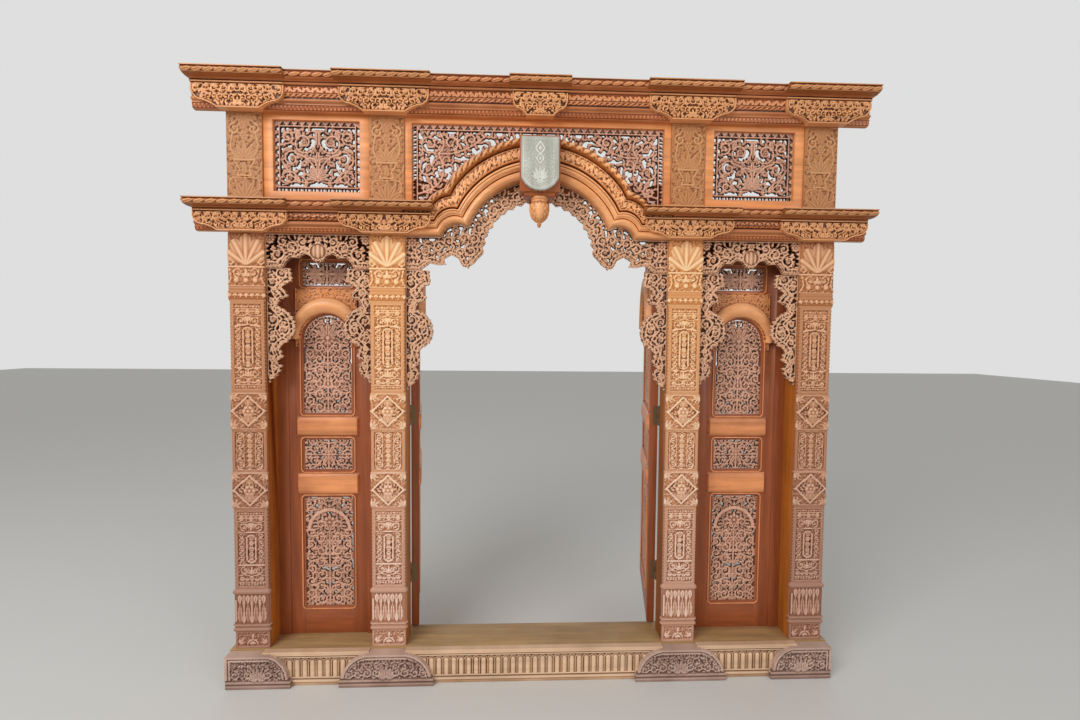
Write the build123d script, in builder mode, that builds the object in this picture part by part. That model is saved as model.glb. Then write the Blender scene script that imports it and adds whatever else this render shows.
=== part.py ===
from build123d import *
import math
import os

os.makedirs("parts", exist_ok=True)

# A carved teak temple door with its whole frame: four posts on a sill, a doorway
# under a carved arch between two side bays, a cornice over the doorway and one at
# the top. X runs along the front, Y runs from the front to the back with zero on
# the posts' front faces, and Z is up from the floor.

# Plan, in millimetres from the centre line and from the posts' front faces
inner_post_x = 661.0
outer_post_x = 1263.0
post_width = 150.0
reveal_depth = 115.0
leaf_thickness = 35.0
leaf_rebate = 12.0
block_proud = 4.0
block_gap = 3.0

# Heights above the floor
sill_top = 152.0
mid_cornice_low = 1993.0
mid_cornice_top = 2120.0
top_cornice_low = 2500.0
top_cornice_top = 2648.0

# Sill and plinths
sill_front = -10.0
sill_back = 175.0
sill_skirt_depth = 22.0
sill_nose_height = 18.0
gadroon_pitch = 36.0
gadroon_low = 32.0
gadroon_high = 122.0
plinth_depth = 46.0
plinth_half_width = 208.0
plinth_shoulder_half = 96.0
plinth_shoulder_rise = 6.0
plinth_shoulder_bulge = 18.0
plinth_step_height = 40.0
plinth_height = 148.0
outer_plinth_half = 186.0
outer_plinth_overhang = 20.0

# Carved zones of a post
base_block_top = 231.0
base_moulding_top = 266.0
frieze_top = 400.0
lower_shaft_low = 419.0
lower_shaft_top = 789.0
lower_diamond_top = 947.0
bars_top = 1140.0
upper_diamond_top = 1300.0
upper_shaft_top = 1702.0
collar_top = 1733.0
fillet_top = 1761.0
bead_block_top = 1846.0
shaft_border = 17.0
carving_depth = 5.0
moulding_proud = 9.0

# Cornices: how far each band stands in front of the posts
cornice_backing = 8.0
cornice_rope_proud = 84.0
cornice_frieze_proud = 42.0
cornice_ogee_proud = 14.0
cornice_leaf_proud = 28.0
cornice_end_overhang = 122.0

# Bracket consoles
bracket_proud = 52.0
bracket_cap_proud = 106.0
mid_bracket_half = 196.0
mid_bracket_foot_half = 102.0
top_bracket_half = 190.0
top_bracket_foot_half = 92.0
centre_bracket_half = 119.0
centre_bracket_foot_half = 61.0
bracket_border = 12.0
bracket_cap_height = 34.0

# Arch over the doorway: lower edge and upper edge of its moulded ring
arch_apex_low = 2243.0
arch_apex_high = 2410.0
arch_board_back = 30.0
arch_ring_proud = 34.0

# Upper panels
panel_frame_front = 8.0
panel_frame_back = 45.0
panel_rail = 22.0
panel_side_stile = 42.0
panel_centre_stile = 31.0
openwork_front = 20.0
openwork_back = 36.0

# Hanging fretwork
fret_front = 18.0
fret_back = 36.0
fret_joint_z = 1846.0
fret_leg_reach = 126.0
doorway_leg_low = 1308.0
bay_leg_low = 1335.0
crown_arc_z = 1905.0
crown_arc_radius = 240.0
crown_boss_z = 1918.0
crown_boss_radius = 26.0

# Keystone
plaque_half_width = 80.0
plaque_low = 2169.0
plaque_top = 2392.0
plaque_front = -112.0
plaque_thickness = 22.0
plaque_corner = 52.0
keystone_margin = 6.0
keystone_foot = 16.0
keystone_foot_inset = 20.0
keystone_crown = 12.0
pendant_radius = 46.0
pendant_low = 2026.0
pendant_sides = 10

# Leaves, fixed and swinging
jamb_strip = 50.0
bay_stile = 67.0
door_stile = 95.0
rail_proud = 12.0
rail_overlap = 33.0
carving_front = 3.0
carving_thickness = 14.0
band_drop = 46.0
band_margin = 8.0
band_width = 18.0
hood_width = 50.0
hood_proud = 34.0
lower_panel_low = 284.0
lower_panel_top = 801.0
lock_rail_top = 929.0
middle_panel_top = 1071.0
upper_panel_low = 1193.0
bay_spring_z = 1535.0
door_spring_z = 1600.0
hood_lift = 30.0
hood_board = 12.0
hood_foot = 35.0
hood_ring_margin = 3.0
hood_board_inset = 3.0
transom_rise = 57.0
rail_margin = 14.0
opening_step = 9.0
transom_height = 104.0
leaf_floor_gap = 5.0
door_leaf_top = 2200.0
leaf_meeting_gap = 3.0
leaf_stop_gap = 1.0
open_angle = 100.0

# Hinges
hinge_plate = 1.5
hinge_plate_gap = 0.5
knuckle_radius = 6.0
pin_radius = 3.0
pin_clearance = 0.08
knuckle_length = 30.0
knuckle_gap = 0.4
knuckle_count = 3
hinge_plate_width = 30.0
hinge_heights = [420.0, 1180.0, 1940.0]

# Worked out from the sizes above
post_depth = reveal_depth + leaf_thickness
post_half = post_width / 2
doorway_half = inner_post_x - post_half
bay_left = inner_post_x + post_half
bay_right = outer_post_x - post_half
bay_half = (bay_right - bay_left) / 2
bay_centre = (bay_right + bay_left) / 2
cornice_half = outer_post_x + post_half + cornice_end_overhang
beam_half = outer_post_x + post_half


def front_plane(y):
    """The upright plane at depth y, with its normal towards the front."""
    return Plane.XZ.offset(-y)


def block(low, high, mode=Mode.ADD):
    """A box between two corners, in the part that is being built."""
    size = [top - bottom for bottom, top in zip(low, high)]
    centre = [(top + bottom) / 2 for bottom, top in zip(low, high)]
    with Locations(tuple(centre)):
        Box(*size, mode=mode)


def save(part, name):
    """Label one finished piece and write it."""
    part.label = name
    export_step(part, "parts/" + name + ".step")


def around(centre, radius, start, end, count, depth=0.0):
    """Points along an arc, with a leaf tip that stands out between each two."""
    points = []
    for step in range(2 * count + 1):
        angle = math.radians(start + (end - start) * step / (2 * count))
        reach = radius + (depth if step % 2 else 0.0)
        points.append((centre[0] + reach * math.cos(angle), centre[1] + reach * math.sin(angle)))
    return points


def leaves(spots):
    """Draw kite-shaped leaves in the sketch: (x, z, length, width, angle) for each."""
    for x, z, length, width, angle in spots:
        with Locations(Location((x, z, 0), (0, 0, angle))):
            Polygon((-length / 2, 0), (length / 8, width / 2), (length / 2, 0),
                    (length / 8, -width / 2), align=None)


def pierce(spots, back, front):
    """Cut the leaf-shaped gaps of an openwork right through."""
    with BuildSketch(front_plane(back)) as gaps:
        leaves(spots)
    extrude(gaps.sketch, amount=back - front, mode=Mode.SUBTRACT)


def spray(x, z, reach, length, width, angles):
    """Leaves that fan out from one point, at the given angles."""
    spots = []
    for angle in angles:
        turn = math.radians(angle)
        spots.append((x + reach * math.cos(turn), z + reach * math.sin(turn), length, width, angle))
    return spots


# Sill: the threshold, with a nose and a gadrooned skirt between the plinths

def sill():
    half = cornice_half - cornice_end_overhang + outer_plinth_overhang
    skirt_front = sill_front - sill_skirt_depth
    nose_front = skirt_front - carving_depth
    nose_low = sill_top - sill_nose_height
    spans = [(-inner_post_x + plinth_half_width, inner_post_x - plinth_half_width)]
    for side in (-1, 1):
        ends = [side * (inner_post_x + plinth_half_width), side * (outer_post_x - outer_plinth_half)]
        spans.append((min(ends), max(ends)))
    with BuildPart() as threshold:
        block((-half, sill_front, 0), (half, sill_back, sill_top))
        for start, end in spans:
            block((start, skirt_front + carving_depth, 0), (end, sill_front, nose_low))
            block((start, nose_front, nose_low), (end, sill_front, sill_top))
            block((start, nose_front, 0), (end, sill_front, gadroon_low - carving_depth))
            count = int((end - start) / gadroon_pitch)
            with BuildSketch(front_plane(skirt_front + carving_depth)):
                with Locations(((start + end) / 2, (gadroon_low + gadroon_high) / 2)):
                    with GridLocations(gadroon_pitch, 1, count, 1):
                        Rectangle(gadroon_pitch - 2 * carving_depth, gadroon_high - gadroon_low)
            extrude(amount=2 * carving_depth, taper=30)
    save(threshold.part, "sill")


# Plinths: stepped blocks with quarter-round shoulders and a carved scroll

def plinth(name, x, left_half, right_half):
    front = sill_front - plinth_depth
    with BuildPart() as pedestal:
        with BuildSketch(front_plane(sill_front)):
            with BuildLine():
                sides = []
                for side, half in ((-1, left_half), (1, right_half)):
                    top = min(half, plinth_shoulder_half)
                    shoulder = half - 2 * carving_depth
                    if half > plinth_shoulder_half:
                        foot = (x + side * shoulder, plinth_step_height + plinth_shoulder_rise)
                        bend = (x + side * ((top + shoulder) / 2 + plinth_shoulder_bulge),
                                (plinth_step_height + plinth_height) / 2 + plinth_shoulder_bulge - 2)
                        ThreePointArc(foot, bend, (x + side * top, plinth_height))
                        Polyline((x + side * half, 0), (x + side * half, plinth_step_height - 4), foot)
                    else:
                        Line((x + side * half, 0), (x + side * top, plinth_height))
                    sides.append(top)
                Line((x - left_half, 0), (x + right_half, 0))
                Line((x - sides[0], plinth_height), (x + sides[1], plinth_height))
            make_face()
        extrude(amount=plinth_depth)
        middle = x + (right_half - left_half) / 4
        scroll = spray(middle, gadroon_low, 44, 62, 26, range(0, 181, 45))
        for side, half in ((-1, left_half), (1, right_half)):
            if half > plinth_shoulder_half:
                scroll += spray(x + side * 120, 62, 30, 40, 20, range(45, 360, 90))
        with BuildSketch(front_plane(front)):
            leaves(scroll)
        extrude(amount=carving_depth)
    save(pedestal.part, name)


# Posts: one length of wood each, with the carved zones cut in the front

def post(name, x, doorway_side):
    front_zones = [
        (base_block_top, base_moulding_top, moulding_proud),
        (base_moulding_top, frieze_top, block_proud),
        (frieze_top, lower_shaft_low, moulding_proud),
        (lower_shaft_top, lower_diamond_top, block_proud),
        (bars_top, upper_diamond_top, block_proud),
        (upper_shaft_top, collar_top, moulding_proud),
        (collar_top, fillet_top, block_proud / 2),
        (fillet_top, bead_block_top, block_proud),
        (bead_block_top, mid_cornice_low, block_proud),
    ]
    pockets = [
        (sill_top, base_block_top), (lower_shaft_low, lower_shaft_top), (lower_diamond_top, bars_top),
        (upper_diamond_top, upper_shaft_top), (mid_cornice_top, top_cornice_low),
    ]
    lower_middle = (lower_shaft_low + lower_shaft_top) / 2
    upper_middle = (upper_diamond_top + upper_shaft_top) / 2
    pilaster_middle = (mid_cornice_top + top_cornice_low) / 2
    diamonds = [(lower_shaft_top + lower_diamond_top) / 2, (bars_top + upper_diamond_top) / 2]
    with BuildPart() as column:
        block((x - post_half, 0, sill_top), (x + post_half, post_depth, top_cornice_low))
        for low, high, proud in front_zones:
            reach = post_half + proud / 2
            block((x - reach, -proud, low), (x + reach, fret_front - block_gap, high))
        for low, high in pockets:
            block((x - post_half + shaft_border, -1, low + shaft_border),
                  (x + post_half - shaft_border, carving_depth, high - shaft_border), Mode.SUBTRACT)
        with BuildSketch(front_plane(carving_depth)):
            with Locations((x, lower_middle)):
                Rectangle(42, 112)
            with Locations((x, upper_middle)):
                Rectangle(42, 166)
            with Locations((x, (lower_diamond_top + bars_top) / 2)):
                with GridLocations(36, 1, 3, 1):
                    Rectangle(24, 146)
            leaves(spray(x, lower_middle, 98, 62, 26, (62, 118, 242, 298)))
            leaves(spray(x, upper_middle, 126, 62, 26, (68, 112, 248, 292)))
            for step in range(6):
                side = 1 if step % 2 else -1
                leaves([(x + side * 22, pilaster_middle - 125 + 50 * step, 62, 26, 90 - side * 35)])
        extrude(amount=carving_depth + moulding_proud / 2)
        with BuildSketch(front_plane(-block_proud)):
            for z in diamonds:
                Polygon((x - 72, z), (x, z + 70), (x + 72, z), (x, z - 70), align=None)
            leaves(spray(x, bead_block_top + 8, 70, 112, 30, (57, 79, 101, 123)))
            for step in (-1, 0, 1):
                with Locations((x + 40 * step, (fillet_top + bead_block_top) / 2 - 8)):
                    RegularPolygon(12, 8)
                leaves([(x + 48 * step, (base_moulding_top + frieze_top) / 2, 112, 42, 90)])
        extrude(amount=carving_depth)
        with BuildSketch(front_plane(-block_proud - carving_depth)):
            for z in diamonds:
                Polygon(*around((x, z), 24, 0, 360, 6, 14)[:-1], align=None)
        extrude(amount=carving_depth)
        if doorway_side:
            edge = x + doorway_side * post_half
            inner = edge - doorway_side * leaf_rebate
            block((min(edge, inner), reveal_depth, sill_top),
                  (max(edge, inner), post_depth, door_leaf_top + leaf_floor_gap), Mode.SUBTRACT)
    save(column.part, name)


# Bracket consoles: a trapezoid with hollow cheeks, a raised border and a cap

def bracket_outline(x, half, foot_half, low, high):
    """Outline of a console: straight at the top, cheeks round and then hollow down to the foot."""
    tall = high - low
    overhang = half - foot_half
    shoulder = low + 0.62 * tall
    with BuildSketch() as outline:
        with BuildLine():
            for side in (-1, 1):
                turning = (x + side * (foot_half + 0.62 * overhang), low + 0.24 * tall)
                Line((x + side * half, high), (x + side * half, shoulder))
                ThreePointArc((x + side * half, shoulder),
                              (x + side * (foot_half + 0.89 * overhang), low + 0.38 * tall), turning)
                ThreePointArc(turning, (x + side * (foot_half + 0.28 * overhang), low + 0.155 * tall),
                              (x + side * foot_half, low))
            Line((x - half, high), (x + half, high))
            Line((x - foot_half, low), (x + foot_half, low))
        make_face()
    return outline.sketch


def bracket(name, x, half, foot_half, low, high):
    cap_low = high - bracket_cap_height
    middle = (low + cap_low) / 2
    field_half = half - bracket_border
    field_low = low + bracket_border
    with BuildPart() as console:
        with BuildSketch(front_plane(-cornice_backing)):
            add(bracket_outline(x, half, foot_half, low, cap_low))
        extrude(amount=bracket_proud - cornice_backing)
        with BuildSketch(front_plane(-bracket_proud)):
            Polygon((x - foot_half, field_low), (x + foot_half, field_low),
                    (x + field_half - bracket_border, middle), (x + field_half, cap_low),
                    (x - field_half, cap_low), (x - field_half + bracket_border, middle), align=None)
        extrude(amount=-carving_depth, mode=Mode.SUBTRACT)
        with BuildSketch(front_plane(carving_depth - bracket_proud)):
            leaves(spray(x, field_low, 34, 44, 18, (35, 90, 145)))
            for side in (-1, 1):
                leaves([(x + side * half / 2, middle + 14, half / 2, 20, 90 - side * 70)])
        extrude(amount=carving_depth)
        with BuildSketch(Plane.YZ.offset(x - half - bracket_border)):
            add(cap_profile(cap_low, high, bracket_cap_proud))
        extrude(amount=2 * (half + bracket_border))
    save(console.part, name)


def cap_profile(low, high, proud):
    """Section of a console's cap: a cove under a round rope edge."""
    with BuildSketch() as section:
        with BuildLine():
            Polyline((-cornice_backing, low), (-cornice_backing, high), (-proud + 6, high))
            ThreePointArc((-proud + 6, high), (-proud, (low + high) / 2 + 4), (-proud + 8, low + 8))
            Polyline((-proud + 8, low + 8), (-proud + 20, low), (-cornice_backing, low))
        make_face()
    return section.sketch


# Cornices: one moulded length, let in behind the consoles

def cornice_profile(low, high):
    """Section of a cornice, from its leaf edge up to the rope."""
    cap_low = high - bracket_cap_height
    frieze_low = low + (cap_low - low) * 0.62
    ogee_low = low + (cap_low - low) * 0.26
    with BuildSketch() as section:
        with BuildLine():
            Polyline((0, low), (0, high), (-cornice_rope_proud + 6, high))
            ThreePointArc((-cornice_rope_proud + 6, high), (-cornice_rope_proud, cap_low + 21),
                          (-cornice_rope_proud + 8, cap_low + 8))
            Polyline((-cornice_rope_proud + 8, cap_low + 8), (-cornice_frieze_proud - 8, cap_low),
                     (-cornice_frieze_proud, cap_low), (-cornice_frieze_proud, frieze_low))
            ThreePointArc((-cornice_frieze_proud, frieze_low),
                          (-cornice_leaf_proud - 2, (frieze_low + ogee_low) / 2),
                          (-cornice_leaf_proud - 4, ogee_low))
            Polyline((-cornice_leaf_proud - 4, ogee_low), (-cornice_leaf_proud, low + 4),
                     (-cornice_ogee_proud, low), (0, low))
        make_face()
    return section.sketch


def let_in(x, half, foot_half, low, high):
    """Take the seat of one console and its cap out of the cornice, as far as the backing."""
    cap_low = high - bracket_cap_height
    with BuildSketch(front_plane(-cornice_backing)) as seat:
        add(bracket_outline(x, half, foot_half, low, cap_low))
        with Locations((x, (cap_low + high) / 2)):
            Rectangle(2 * (half + bracket_border), bracket_cap_height)
    extrude(seat.sketch, amount=bracket_cap_proud, mode=Mode.SUBTRACT)


def top_cornice():
    with BuildPart() as cornice:
        with BuildSketch(Plane.YZ.offset(-cornice_half)):
            add(cornice_profile(top_cornice_low, top_cornice_top))
        extrude(amount=2 * cornice_half)
        for x, half, foot_half in top_consoles():
            let_in(x, half, foot_half, top_cornice_low, top_cornice_top)
    save(cornice.part, "top_cornice")
    with BuildPart() as beam:
        block((-beam_half, 0, top_cornice_low), (beam_half, post_depth, top_cornice_top))
    save(beam.part, "head_beam")


def top_consoles():
    """Place and size of the five top consoles: centre, half width and foot half width."""
    sides = [(x, top_bracket_half, top_bracket_foot_half)
             for x in (-outer_post_x, -inner_post_x, inner_post_x, outer_post_x)]
    return sides + [(0.0, centre_bracket_half, centre_bracket_foot_half)]


def mid_cornice(name, side):
    start, end = sorted((side * doorway_half, side * cornice_half))
    inner, outer = sorted((side * bay_left, side * bay_right))
    with BuildPart() as cornice:
        with BuildSketch(Plane.YZ.offset(start)):
            add(cornice_profile(mid_cornice_low, mid_cornice_top))
        extrude(amount=end - start)
        block((inner, 0, mid_cornice_low), (outer, post_depth, mid_cornice_top))
        for x in (side * inner_post_x, side * outer_post_x):
            let_in(x, mid_bracket_half, mid_bracket_foot_half, mid_cornice_low, mid_cornice_top)
    save(cornice.part, name)


# Arch frame: a moulded ring that springs from the mid cornice over the doorway

def arch_points(share, wall):
    """Key points of one moulding line, from the lower edge (0) to the upper edge (1)."""
    low = [(wall, mid_cornice_low), (430, mid_cornice_low), (352, 2048), (312, 2035),
           (310, 2040), (231, 2152), (0, arch_apex_low)]
    high = [(wall, mid_cornice_top), (478, mid_cornice_top), (446, 2160), (398, 2185),
            (371, 2236), (244, 2343), (0, arch_apex_high)]
    return [(a + (c - a) * share, b + (d - b) * share) for (a, b), (c, d) in zip(low, high)]


def arch_line(share, end=doorway_half):
    """One moulding line of the arch in the open BuildLine, from post to post."""
    for side in (-1, 1):
        wall, foot, swell, cusp, rise, haunch, apex = [(side * x, z) for x, z in arch_points(share, end)]
        Line(wall, foot)
        ThreePointArc(foot, swell, cusp)
        Line(cusp, rise)
        ThreePointArc(rise, haunch, apex)


def arch_band(low_share, high_share):
    """The face between two moulding lines of the arch."""
    with BuildSketch() as band:
        with BuildLine():
            arch_line(low_share)
            arch_line(high_share)
            for side in (-1, 1):
                Line((side * doorway_half, arch_points(low_share, doorway_half)[0][1]),
                     (side * doorway_half, arch_points(high_share, doorway_half)[0][1]))
        make_face()
    return band.sketch


def arch_frame():
    rings = [(0.0, 0.22, 0.45), (0.26, 0.44, 0.8), (0.5, 0.8, 1.0), (0.84, 1.0, 1.8)]
    with BuildPart() as arch:
        with BuildSketch(front_plane(arch_board_back)):
            add(arch_band(0.0, 1.0))
        extrude(amount=arch_board_back + cornice_backing)
        for low_share, high_share, proud in rings:
            with BuildSketch(front_plane(-cornice_backing)):
                add(arch_band(low_share, high_share))
            extrude(amount=arch_ring_proud * proud)
        for x in (-inner_post_x, inner_post_x):
            let_in(x, mid_bracket_half, mid_bracket_foot_half, mid_cornice_low, mid_cornice_top)
        block((-plaque_half_width - keystone_margin, -reveal_depth, plaque_low - keystone_foot),
              (plaque_half_width + keystone_margin, -cornice_backing, top_cornice_low), Mode.SUBTRACT)
    save(arch.part, "arch_frame")


# Upper panels: a frame between the posts and the pierced carving in it

def upper_side_panel(name, side):
    left, right = sorted((side * bay_left, side * bay_right))
    middle = (left + right) / 2
    opening_half = bay_half - panel_side_stile
    low = mid_cornice_top + 2.5 * panel_rail
    high = top_cornice_low - panel_rail
    centre_z = (low + high) / 2
    with BuildPart() as frame:
        block((left, panel_frame_front, mid_cornice_top), (right, panel_frame_back, top_cornice_low))
        block((middle - opening_half, 0, low), (middle + opening_half, post_depth, high), Mode.SUBTRACT)
    save(frame.part, "upper_frame_" + name)
    with BuildPart() as carving:
        block((middle - opening_half, openwork_front, low), (middle + opening_half, openwork_back, high))
        spots = spray(middle, centre_z, 42, 54, 26, range(45, 360, 90))
        for turn_x in (-1, 1):
            for turn_z in (-1, 1):
                spots += spray(middle + turn_x * 116, centre_z + turn_z * 88,
                               34, 46, 24, range(0, 360, 90))
        pierce(spots, openwork_back, openwork_front)
    save(carving.part, "upper_openwork_" + name)


def upper_centre_panel():
    opening_half = doorway_half - panel_centre_stile
    high = top_cornice_low - panel_rail
    with BuildPart() as frame:
        block((-doorway_half, panel_frame_front, mid_cornice_top),
              (doorway_half, panel_frame_back, top_cornice_low))
        block((-opening_half, 0, mid_cornice_top - 1), (opening_half, post_depth, high), Mode.SUBTRACT)
    save(frame.part, "upper_frame_centre")
    with BuildPart() as carving:
        with BuildSketch(front_plane(openwork_back)):
            with BuildLine():
                arch_line(1.0, opening_half)
                Polyline((-opening_half, mid_cornice_top), (-opening_half, high),
                         (opening_half, high), (opening_half, mid_cornice_top))
            make_face()
        extrude(amount=openwork_back - openwork_front)
        spots = []
        for side in (-1, 1):
            spots += spray(side * 486, 2400, 34, 48, 26, range(45, 360, 90))
            spots += spray(side * 380, 2412, 32, 44, 24, range(0, 360, 90))
            spots += spray(side * 500, 2252, 32, 44, 24, range(45, 360, 90))
            spots += [(side * (150 + 55 * step), 2454, 40, 18, side * 12) for step in range(4)]
            spots += [(side * 45, 2446, 62, 22, side * 20)]
        pierce(spots, openwork_back, openwork_front)
    save(carving.part, "upper_openwork_centre")


# Hanging fretwork: a crown piece under the cornice or arch and a leg down each post

def fret_leg(name, wall, side, low):
    """A pierced leg on one post; side is the direction in which it reaches from the wall."""
    outline = [
        (0, 0), (108, 0), (113, 40), (122, 77), (95, 68), (67, 87), (85, 105), (97, 119), (85, 147),
        (62, 142), (44, 170), (81, 189), (92, 192), (101, 210), (112, 214), (116, 235), (125, 242),
        (123, 262), (129, 272), (123, 284), (125, 303), (114, 311), (110, 328), (96, 331), (86, 346),
        (73, 348), (57, 366), (71, 413), (43, 432), (66, 451), (52, 493), (24, 517), (5, 541), (0, 500),
    ]
    gaps = [
        (34, 38, 50, 24, 60), (88, 38, 46, 22, 80), (34, 104, 50, 24, 100), (28, 196, 54, 22, 75),
        (66, 230, 54, 22, 30), (98, 276, 50, 20, 85), (58, 306, 54, 24, 150), (28, 384, 50, 20, 80),
        (30, 452, 44, 18, 100),
    ]
    reach_scale = fret_leg_reach / max(across for across, down in outline)
    drop_scale = (fret_joint_z - low) / max(down for across, down in outline)
    with BuildPart() as leg:
        with BuildSketch(front_plane(fret_back)):
            Polygon(*[(wall + side * across * reach_scale, fret_joint_z - down * drop_scale)
                      for across, down in outline], align=None)
        extrude(amount=fret_back - fret_front)
        pierce([(wall + side * across * reach_scale, fret_joint_z - down * drop_scale,
                 length, width, side * angle) for across, down, length, width, angle in gaps],
               fret_back, fret_front)
    save(leg.part, name)


def doorway_crown():
    corner = [(doorway_half, fret_joint_z), (519, fret_joint_z), (480, 1876), (440, 1866), (404, 1866),
              (417, 1895), (385, 1914), (357, 1900), (339, 1864), (311, 1855), (280, 1884)]
    edge = corner + around((0, crown_arc_z), crown_arc_radius, 6, 90, 9, 12)
    with BuildPart() as crown:
        with BuildSketch(front_plane(fret_back)):
            with BuildLine():
                arch_line(0.0)
                for side in (-1, 1):
                    Line((side * doorway_half, mid_cornice_low), (side * doorway_half, fret_joint_z))
                    Polyline(*[(side * x, z) for x, z in edge])
            make_face()
        extrude(amount=fret_back - fret_front)
        spots = []
        for side in (-1, 1):
            spots += spray(0, crown_arc_z, side * (crown_arc_radius + 46), 54, 24,
                           [side * (12 + 13.5 * step) for step in range(6)])
            spots += spray(side * 505, 1925, 34, 46, 24, range(45, 360, 90))
            spots += spray(side * 408, 1958, 26, 36, 18, range(45, 360, 90))
        pierce(spots, fret_back, fret_front)
    save(crown.part, "fret_crown_doorway")


def bay_crown(name, side):
    middle = side * bay_centre
    half_edge = [(bay_half, fret_joint_z), (152, fret_joint_z), (140, 1870), (118, 1892), (84, 1888),
                 (60, 1908), (34, 1898), (22, 1878), (0, 1866)]
    with BuildPart() as crown:
        with BuildSketch(front_plane(fret_back)):
            with BuildLine():
                Line((middle - bay_half, mid_cornice_low), (middle + bay_half, mid_cornice_low))
                for turn in (-1, 1):
                    wall = middle + turn * bay_half
                    Line((wall, mid_cornice_low), (wall, fret_joint_z))
                    Polyline(*[(middle + turn * x, z) for x, z in half_edge])
            make_face()
        extrude(amount=fret_back - fret_front)
        spots = []
        for turn in (-1, 1):
            spots += spray(middle + turn * 182, 1926, 30, 40, 20, range(45, 360, 90))
            spots += spray(middle + turn * 96, 1944, 24, 34, 18, range(45, 360, 90))
            spots += [(middle + turn * 38, 1966, 34, 16, turn * 20)]
        pierce(spots, fret_back, fret_front)
        with BuildSketch(front_plane(fret_front)):
            with Locations((middle, crown_boss_z)):
                RegularPolygon(crown_boss_radius, 10)
        extrude(amount=2 * carving_depth)
    save(crown.part, name)


# Keystone: a block on the arch with a stone-coloured plaque and a hanging lotus bud

def keystone():
    plaque_back = plaque_front + plaque_thickness
    block_half = plaque_half_width + keystone_margin
    foot_half = block_half - keystone_foot_inset
    foot_low = plaque_low - keystone_foot
    with BuildPart() as wedge:
        block((-block_half, plaque_back, plaque_low),
              (block_half, -cornice_backing, plaque_top + keystone_crown))
        block((-foot_half, plaque_back + 8, foot_low), (foot_half, -cornice_backing, plaque_low))
    save(wedge.part, "keystone_block")
    centre_z = (plaque_low + plaque_top) / 2
    with BuildPart() as plaque:
        with BuildSketch(front_plane(plaque_back)):
            with BuildLine():
                corner_z = plaque_low + plaque_corner
                Polyline((-plaque_half_width, corner_z), (-plaque_half_width, plaque_top),
                         (plaque_half_width, plaque_top), (plaque_half_width, corner_z))
                ThreePointArc((-plaque_half_width, corner_z), (0, plaque_low), (plaque_half_width, corner_z))
            make_face()
        extrude(amount=plaque_thickness)
        with BuildSketch(front_plane(plaque_front)):
            for z, half in ((centre_z + 66, 20), (centre_z + 22, 16)):
                Polygon((-half, z), (0, z + 1.4 * half), (half, z), (0, z - 1.4 * half), align=None)
            leaves(spray(0, centre_z - 52, 34, 44, 16, (20, 55, 90, 125, 160)))
        extrude(amount=carving_depth / 2)
    save(plaque.part, "keystone_plaque")
    middle_y = (plaque_back - cornice_backing) / 2
    levels = [(0, 0.72), (16, 0.62), (38, 1.0), (72, 0.94), (98, 0.5), (112, 0.2),
              (foot_low - pendant_low, 0.1)]
    rings = []
    for drop, share in levels:
        turns = [2 * math.pi * (step + 0.5) / pendant_sides for step in range(pendant_sides)]
        rings.append([(pendant_radius * share * math.cos(turn),
                       middle_y + pendant_radius * share * math.sin(turn), foot_low - drop) for turn in turns])
    skins = [rings[0], rings[-1]]
    for upper, lower in zip(rings, rings[1:]):
        for step in range(pendant_sides):
            skins.append([upper[step - 1], upper[step], lower[step], lower[step - 1]])
    with BuildPart() as bud:
        add(Solid(Shell([Face(Wire.make_polygon([Vector(*p) for p in skin])) for skin in skins])))
    save(bud.part, "lotus_pendant")


# Door leaves and fixed side leaves share one pattern

def transom_span(opening, spring):
    """Heights of the opening over a leaf's hood, (low, high)."""
    hood_top = spring + hood_lift + opening + hood_width
    return hood_top + transom_rise, hood_top + transom_rise + transom_height


def leaf_frame(x, half, stile, low, top, spring, front):
    opening = half - stile
    transom = transom_span(opening, spring)
    spans = [(lower_panel_low, lower_panel_top), (lock_rail_top, middle_panel_top),
             (upper_panel_low, spring), transom]
    with BuildPart() as frame:
        block((x - half, front, low), (x + half, front + leaf_thickness, top))
        for step, depth in ((0, leaf_thickness), (opening_step, carving_front)):
            with BuildSketch(front_plane(front + depth)):
                for start, end in spans:
                    with Locations((x, (start + end) / 2)):
                        Rectangle(2 * (opening + step), end - start + 2 * step)
                with Locations((x, spring)):
                    Circle(opening + step)
            extrude(amount=2 * leaf_thickness, mode=Mode.SUBTRACT)
        with BuildSketch(front_plane(front)):
            for start, end in ((lower_panel_top, lock_rail_top), (middle_panel_top, upper_panel_low)):
                with Locations((x, (start + end) / 2)):
                    Rectangle(2 * (opening + rail_overlap), end - start - 2 * rail_margin)
        extrude(amount=rail_proud, taper=35)
    return frame.part


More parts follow.
